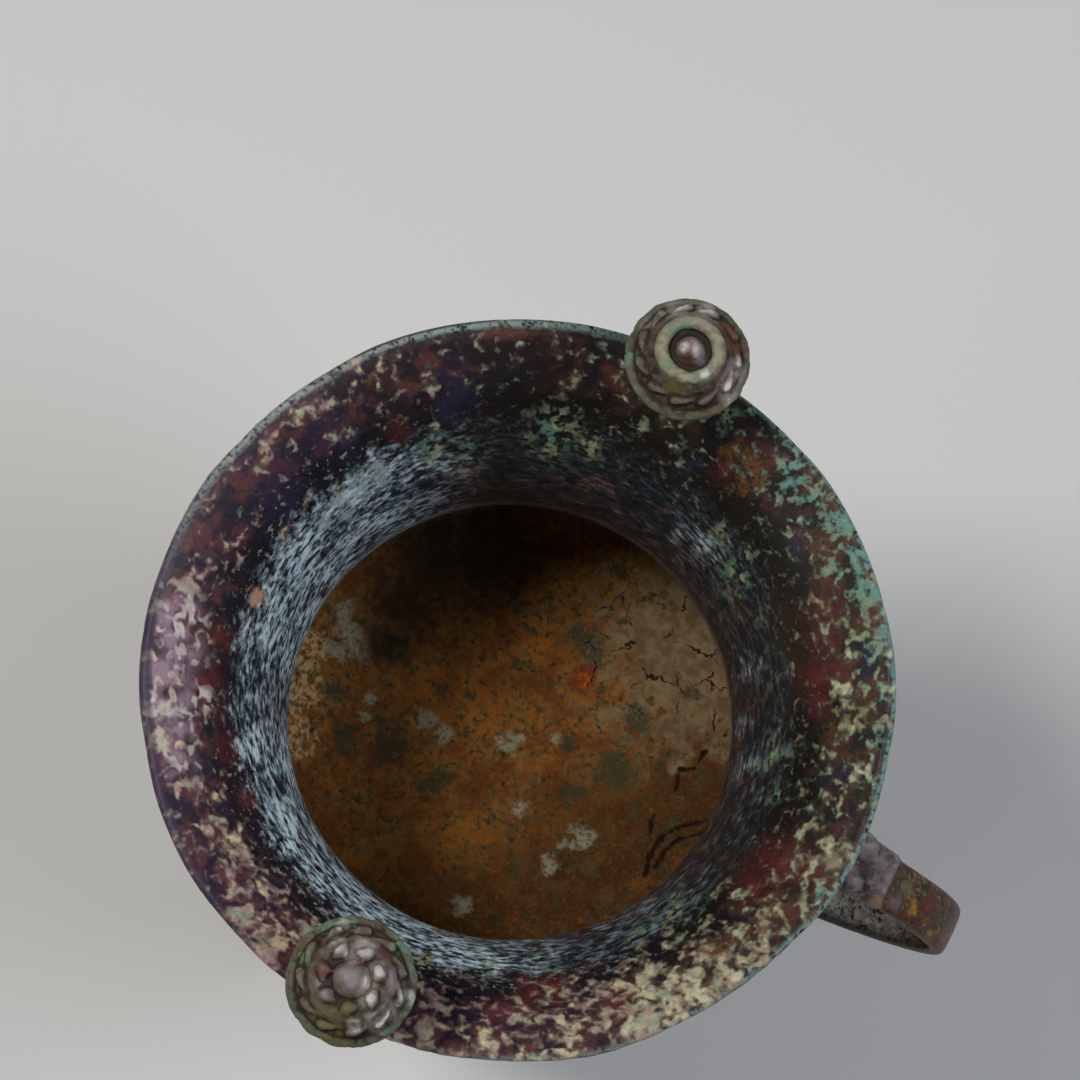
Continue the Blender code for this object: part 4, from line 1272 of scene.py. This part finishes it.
# The bead of the lip, turquoise on its edge and to the right, green flecks in the dark band, lime over them
mouth.lay(glossy * 0.85, between(tongues, (0.018, 0.014, 0.034), (0.06, 0.044, 0.074)), 0.5)
edging = between(warm, (0.25, 0.3, 0.285), (0.16, 0.31, 0.285))
mouth.lay(pale_lip * (flecks + grit).step(0.76, 1.06) * 0.85, edging, 0.5)
wet = (flecks * 0.35 + grit * 0.15 + blobs * 0.5 + wet_at).step(0.555, 0.7)
mouth.lay(wet * 0.9, patchy((0.108, 0.255, 0.228), (0.185, 0.29, 0.19)), 0.7)
green = marked("green", 0.25, 0.9) * (flecks * 0.5 + blobs * 0.5).step(0.47, 0.6)
mouth.lay(green, patchy((0.085, 0.185, 0.125), (0.24, 0.26, 0.14)), 0.7)
sparse = (flecks * 0.5 + blobs * 0.3 + tongues * 0.2).step(0.56, 0.66) * depth.step(0.034, 0.02)
mouth.lay(sparse * warm * 0.6, (0.13, 0.165, 0.085), 0.7)
fringe = between(warm, (0.12, 0.066, 0.066), (0.058, 0.078, 0.05))
mouth.lay(noises.lime(0.52, 0.62) * 0.35, fringe, 0.6)
cream = between(warm, (0.54, 0.44, 0.275), (0.43, 0.43, 0.265))
stained = between(warm, (0.4, 0.265, 0.24), (0.27, 0.225, 0.12))
tint = between(tongues.step(0.44, 0.56), cream, stained)
tint = between((curl * 0.6 + clouds * 0.4).step(0.52, 0.6) * 0.75, tint, (0.21, 0.31, 0.205))
mouth.lay(noises.lime() * (grit.step(0.66, 0.4) * 0.3 + 0.65) * (1.0 - glossy * 0.6), tint, 0.75)
mouth.lay(marked("peach", 0.4, 0.75), (0.42, 0.23, 0.15), 0.6)

# On the floor of the bowl: rusty soil with green and pale patches, dust to the right, cracks, and painted
# shadow at its upper left
rusty = (clouds * 0.5 + curl * 0.2 + tongues * 0.3).step(0.41, 0.6)
soil = Coat(between(rusty, (0.124, 0.042, 0.008), (0.3, 0.108, 0.014)), grit * 0.1 + 0.75)
soil.lay((clouds * 0.45 + curl * 0.35 + flecks * 0.2).step(0.46, 0.58) * 0.6, (0.115, 0.08, 0.024), 0.8)
soil.lay((tongues * 0.6 + grit * 0.4).step(0.52, 0.62) * 0.4, (0.05, 0.02, 0.006), 0.85)
soil.lay(marked("orange_soil", 0.2, 1.1, torn) * 0.65, (0.34, 0.12, 0.014), 0.8)
ochre = between(flecks.step(0.42, 0.58), (0.46, 0.32, 0.16), (0.31, 0.14, 0.036))
soil.lay(marked("ochre") * 0.85, ochre, 0.85)
dimmed = dim * ((tongues * 0.6 + grit * 0.4).step(0.36, 0.56) * 0.36 + 0.62)
soil.lay(dimmed, (0.054, 0.02, 0.005), 0.85)
soil.lay((blobs * 0.5 + flecks * 0.3 + clouds * 0.2).step(0.5, 0.61) * 0.65, (0.06, 0.052, 0.02), 0.8)
soil.lay((tongues * 0.4 + curl * 0.45 + flecks * 0.15).step(0.545, 0.61) * 0.7, (0.048, 0.042, 0.018), 0.8)
soil.lay((flecks * 0.6 + grit * 0.4).step(0.55, 0.64) * 0.75, (0.028, 0.02, 0.009), 0.75)
soil.lay((flecks * 0.7 + grit * 0.3).step(0.44, 0.36) * 0.18, (0.3, 0.125, 0.024), 0.85)
dust = marked("dust", 0.3, 0.62, torn)
dusty = between((clouds * 0.5 + blobs * 0.5).step(0.38, 0.62), (0.118, 0.076, 0.038), (0.205, 0.15, 0.084))
soil.lay(dust * (grit * 0.4 + 0.66), dusty, 0.85)
soil.lay(marked("olive", 0.48, 0.78, torn) * grit.step(0.72, 0.48) * 0.85, (0.036, 0.038, 0.02), 0.75)
soil.lay(marked("pale", 0.48, 0.84, torn) * grit.step(0.32, 0.52) * 0.75, (0.27, 0.28, 0.195), 0.85)
# The painted shadow, near black, over the floor's upper left
soil.lay(marked("painted_floor_shadow", 0.1, 0.85) * 0.88, (0.016, 0.011, 0.006), 0.85)
soil.lay(marked("ember", 0.22, 0.6) * 0.9, (0.11, 0.024, 0.007), 0.8)
soil.lay(marked("ember", 0.5, 1.05, torn) * grit.step(0.66, 0.46) * 0.9, (0.45, 0.078, 0.007), 0.8)
turned = {"Vector": place, "Center": (AXIS_X, 0.0, 0.0), "Angle": HANDLE_TURN}
right, up, _ = place.node("ShaderNodeVectorRotate", {"rotation_type": "Z_AXIS"}, turned).parted()
right, up = (right - AXIS_X) * MM, up * MM
flat = place.vector(right, up, 0.0)
shift = (curl - 0.5) * 4.0
bent = place.vector(right + shift, up + (tongues - 0.5) * 9.0, 0.0)
plates = {"voronoi_dimensions": "2D", "feature": "DISTANCE_TO_EDGE"}
seams = bent.node("ShaderNodeTexVoronoi", plates, {"Vector": bent, "Scale": 1 / 12}, "Distance")
cracks = seams.step(0.034, 0.012) * dust * clouds.step(0.47, 0.53)
for crack in CRACKS:
    for begin, end in zip(crack, crack[1:]):
        cracks = cracks + (stroke(flat, begin, end) + shift * 0.7 + (grit - 0.5) * 1.2).step(1.05, 0.1)
soil.lay(cracks.maths("MINIMUM", 1.0) * 0.96, (0.008, 0.005, 0.003), 0.9)

# Outside, plainer: brown patina, green in the hollows, with a little lime and soil
skin = Coat(
    between((clouds * 0.6 + curl * 0.4).step(0.42, 0.58), (0.018, 0.016, 0.018), (0.066, 0.038, 0.024)),
    tongues.step(0.35, 0.65) * 0.12 + 0.36,
)
skin.lay((tongues * 0.7 + flecks * 0.3).step(0.52, 0.6) * 0.6, (0.084, 0.042, 0.034), 0.42)
skin.lay((flecks * 0.4 + clouds * 0.6 + hollow * 260.0).step(0.55, 0.63) * 0.85, (0.08, 0.14, 0.1), 0.7)
skin.lay((grit * 0.3 + flecks * 0.3 + tongues * 0.4).step(0.56, 0.64) * 0.8, (0.13, 0.23, 0.2), 0.72)
skin.lay((curl * 0.6 + grit * 0.2 + tongues * 0.2).step(0.59, 0.67) * 0.8, (0.25, 0.225, 0.17), 0.76)
skin.lay((hollow * -1.0).step(0.00006, 0.00022) * 0.4, (0.11, 0.064, 0.048), 0.34)

# The handle: a worn lilac-grey head, a maroon strap with a gold patch near its bend, and grey grain on its
# lower arm, brightened along its middle as painted light
along = place.parted()[0] - AXIS_X
upper = on_handle * noises.height.step(0.165, 0.185)
head_part = upper * along.step(HEAD_FRONT + 0.0005, HEAD_FRONT - 0.001)
worn = (hollow * -1.0 + (grit - 0.5) * 0.0001).step(-0.00006, 0.0001)
maroon = between((blobs * 0.6 + curl * 0.4).step(0.4, 0.6), (0.09, 0.026, 0.018), (0.026, 0.018, 0.011))
skin.lay(upper * 0.9, maroon, 0.45)
skin.lay(upper * (tongues * 0.5 + flecks * 0.5).step(0.5, 0.6) * 0.65, (0.08, 0.066, 0.03), 0.5)
skin.lay(upper * (tongues * 0.3 + grit * 0.7).step(0.55, 0.66) * 0.7, (0.23, 0.15, 0.06), 0.5)
skin.lay(head_part * 0.9, between(worn, (0.026, 0.02, 0.018), (0.15, 0.122, 0.124)), 0.46)
skin.lay(head_part * (curl * 0.6 + blobs * 0.4).step(0.46, 0.6) * 0.6, (0.25, 0.19, 0.175), 0.46)
skin.lay(head_part * (blobs * 0.5 + flecks * 0.5).step(0.48, 0.6) * 0.7, (0.072, 0.042, 0.028), 0.5)
skin.lay(head_part * (tongues * 0.4 + grit * 0.6).step(0.55, 0.66) * 0.5, (0.32, 0.265, 0.215), 0.5)
skin.lay(head_part * marked("head_pale", 0.3, 1.0) * 0.75, (0.27, 0.228, 0.232), 0.42)
skin.lay(upper * marked("strap_lilac_and_sheen", 0.25, 0.85) * 0.7, (0.15, 0.125, 0.13), 0.45)
skin.lay(upper * marked("head_dark", 0.4, 0.75) * 0.85, (0.018, 0.016, 0.015), 0.5)
skin.lay(upper * marked("ochre_lobe", 0.2, 1.0, torn) * 0.8, (0.32, 0.17, 0.06), 0.45)
skin.lay(upper * marked("strap_green", 0.25, 0.85) * 0.8, (0.085, 0.13, 0.05), 0.5)
skin.lay(upper * marked("gold", 0.25, 0.95, torn) * grit.step(0.66, 0.44) * 0.9, (0.4, 0.2, 0.012), 0.5)
arm = on_handle * noises.height.step(0.185, 0.165)
skin.lay(arm * 0.8, (0.02, 0.018, 0.016), 0.5)
# The lower arm's grey grain, painted far paler than its own colour to stand for the light on it, and faded
# out towards the arm's lower edge as painted shade
grey_grain_lit_strip = (grit * 0.45 + flecks * 0.25 + tongues * 0.3).step(0.38, 0.56)
grey_grain_lit_strip = grey_grain_lit_strip * place.parted()[1].step(-0.0068, -0.003)
lit_pale_grey = between(blobs.step(0.35, 0.65), (0.56, 0.51, 0.44), (0.88, 0.83, 0.74))
skin.lay(arm * grey_grain_lit_strip * 0.95, lit_pale_grey, 0.5)

# The caps: a cream-green ring, a green flange edge, pale worn lobes and knob with painted highlights on them,
# and dark grooves
proud = (hollow * -1.0 + (grit - 0.5) * 0.0001).step(0.00001, 0.00012)
sunk = (hollow + (grit - 0.5) * 0.00006).step(0.0, 0.00007)
mottle = (clouds * 0.4 + flecks * 0.3 + curl * 0.3).step(0.43, 0.57)
cap_coat = Coat(between(mottle, (0.017, 0.012, 0.009), (0.078, 0.042, 0.028)), grit * 0.1 + 0.55)
cap_coat.lay(proud * 0.6, between(curl.step(0.4, 0.6), (0.17, 0.14, 0.134), (0.105, 0.074, 0.048)), 0.58)
cap_coat.lay((blobs * 0.6 + flecks * 0.4).step(0.49, 0.6) * 0.55, (0.08, 0.086, 0.056), 0.6)
cap_coat.lay(marked("cap_lilac_and_sheen", 0.35, 0.95, torn) * 0.7, (0.225, 0.182, 0.195), 0.55)
cap_coat.lay(marked("cap_red", 0.45, 0.8) * 0.75, (0.1, 0.032, 0.018), 0.42)
ring = attribute(start, "ring") * (1.0 - sunk)
cap_coat.lay(ring * (flecks.step(0.38, 0.6) * 0.5 + 0.45), (0.235, 0.23, 0.15), 0.55)
greened = attribute(start, "flange") * (curl * 0.5 + flecks * 0.5).step(0.44, 0.56)
cap_coat.lay(greened * 0.7, (0.085, 0.12, 0.062), 0.65)
cap_coat.lay(marked("cap_green", 0.45, 0.8, torn) * flecks.step(0.36, 0.5) * 0.8, (0.1, 0.19, 0.115), 0.65)
cap_coat.lay(marked("cap_olive", 0.3, 0.95, torn) * 0.7, (0.11, 0.088, 0.024), 0.6)
cap_coat.lay(sunk * 0.92, (0.014, 0.01, 0.007), 0.7)
lobes = (proud * 0.7 + 0.3) * (flecks.step(0.34, 0.6) * 0.5 + 0.5)
# Pale lobes and knob: partly worn, partly painted highlights
cap_coat.lay(attribute(start, "cap_pale").step(0.3, 0.8) * lobes * 0.95, (0.5, 0.465, 0.42), 0.5)

# One material over the whole casting, whose grain is finest on the metal and coarser in the soil
METAL_GRAIN, SOIL_GRAIN = 0.00005, 0.00022
floor = noises.on_floor()
height = grit * METAL_GRAIN + (grit * 0.7 + flecks * 1.2 + blobs) * floor * inside * SOIL_GRAIN
relief = start.node("ShaderNodeBump", inputs={"Strength": 1.0, "Distance": 1.0, "Height": height})


def painted(coat, shine=0.25):
    return start.node("ShaderNodeBsdfPrincipled", inputs={
        "Base Color": coat.colour, "Roughness": coat.rough, "Normal": relief, "Specular IOR Level": shine,
    })


def laid_over(amount, under, over):
    return start.node("ShaderNodeMixShader", inputs={0: amount, 1: under, 2: over})


outside = laid_over(on_cap, painted(skin), painted(cap_coat))
whole = laid_over(inside, outside, laid_over(floor, painted(mouth, 0.16), painted(soil, 0.12)))
finish.node_tree.links.new(whole.socket, finish.node_tree.nodes["Material Output"].inputs["Surface"])


# The stand-in studio
# The vessel stands on its feet on a plain pale floor under soft light, and the camera looks down into its
# mouth from where the photograph was taken.

FOCAL_PIXELS = 3397
FRAME_PIXELS = 1080
VIEW_DISTANCE = 0.828
MOUTH_MIDDLE_PIXELS = (519.2, 681.1)
VIEW_TILT = math.radians(12.13)
VIEW_TILT_TURN = math.radians(-101.9)


def view_axes():
    """The mouth's middle, and the vessel's X, Y and Z, all as the camera sees them: right, up and back."""
    half = FRAME_PIXELS / 2
    right = (MOUTH_MIDDLE_PIXELS[0] - half) / FOCAL_PIXELS
    down = (MOUTH_MIDDLE_PIXELS[1] - half) / FOCAL_PIXELS
    middle = Vector((right, -down, -1)) * VIEW_DISTANCE
    tilt = math.sin(VIEW_TILT)
    up = Vector((-math.cos(VIEW_TILT_TURN) * tilt, -math.sin(VIEW_TILT_TURN) * tilt, math.cos(VIEW_TILT)))
    level = (Vector((1, 0, 0)) - up.x * up).normalized()
    beyond = up.cross(level)
    ahead = level * math.cos(HANDLE_TURN) + beyond * math.sin(HANDLE_TURN)
    return middle, ahead, up.cross(ahead), up


def soft_light(name, place, target, size, power, colour):
    light = bpy.data.lights.new(name, "AREA")
    light.shape = "DISK"
    light.size = size
    light.energy = power
    light.color = colour
    lamp = placed(name, light)
    lamp.location = place
    lamp.rotation_euler = (target - place).to_track_quat("-Z", "Y").to_euler()


seen_middle, seen_x, seen_y, seen_z = view_axes()
facing = Matrix((seen_x, seen_y, seen_z))
mouth_middle = Vector((AXIS_X, 0, RIM_HEIGHT))
lens = bpy.data.cameras.new("camera")
lens.sensor_width = 36
lens.lens = lens.sensor_width * FOCAL_PIXELS / FRAME_PIXELS
lens.clip_start, lens.clip_end = 0.05, 20
camera = placed("camera", lens)
camera.matrix_world = Matrix.Translation(mouth_middle - facing @ seen_middle) @ facing.to_4x4()
bpy.context.scene.camera = camera

# Two lamps over the mouth: direction as the camera sees it, metres away, metres across, watts, colour
for name, direction, far, size, power, colour in (
    ("key", (-0.45, 0.37, 1.0), 1.25, 0.36, 12, (1.0, 0.97, 0.93)),
    ("fill", (0.84, 0.04, 1.0), 1.4, 0.7, 9.5, (0.9, 0.93, 1.0)),
):
    place = mouth_middle + facing @ (Vector(direction).normalized() * far)
    soft_light(name, place, mouth_middle, size, power, colour)
# And two more low down at the sides
for name, place, power in (("left", (-1.2, -1.1, 0.7), 4), ("right", (1.3, 0.9, 0.7), 3)):
    soft_light(name, Vector(place), Vector((0, 0, 0.15)), 0.9, power, (0.97, 0.98, 1.0))

world = bpy.data.worlds.new("studio")
bpy.context.scene.world = world
world.use_nodes = True
glow = world.node_tree.nodes["Background"].inputs
glow["Color"].default_value = (0.8, 0.83, 0.88, 1)
glow["Strength"].default_value = 0.08
bpy.context.scene.view_settings.view_transform = "Standard"

floor_mesh = bpy.data.meshes.new("floor")
floor_mesh.from_pydata([(-4, -4, 0), (4, -4, 0), (4, 4, 0), (-4, 4, 0)], [], [(0, 1, 2, 3)])
floor = placed("floor", floor_mesh)
pale = bpy.data.materials.new("pale_floor")
pale.use_nodes = True
looks = pale.node_tree.nodes["Principled BSDF"].inputs
looks["Base Color"].default_value = (0.62, 0.62, 0.61, 1)
looks["Roughness"].default_value = 0.85
floor_mesh.materials.append(pale)

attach(vessel, "root")
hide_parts("jia_vessel")
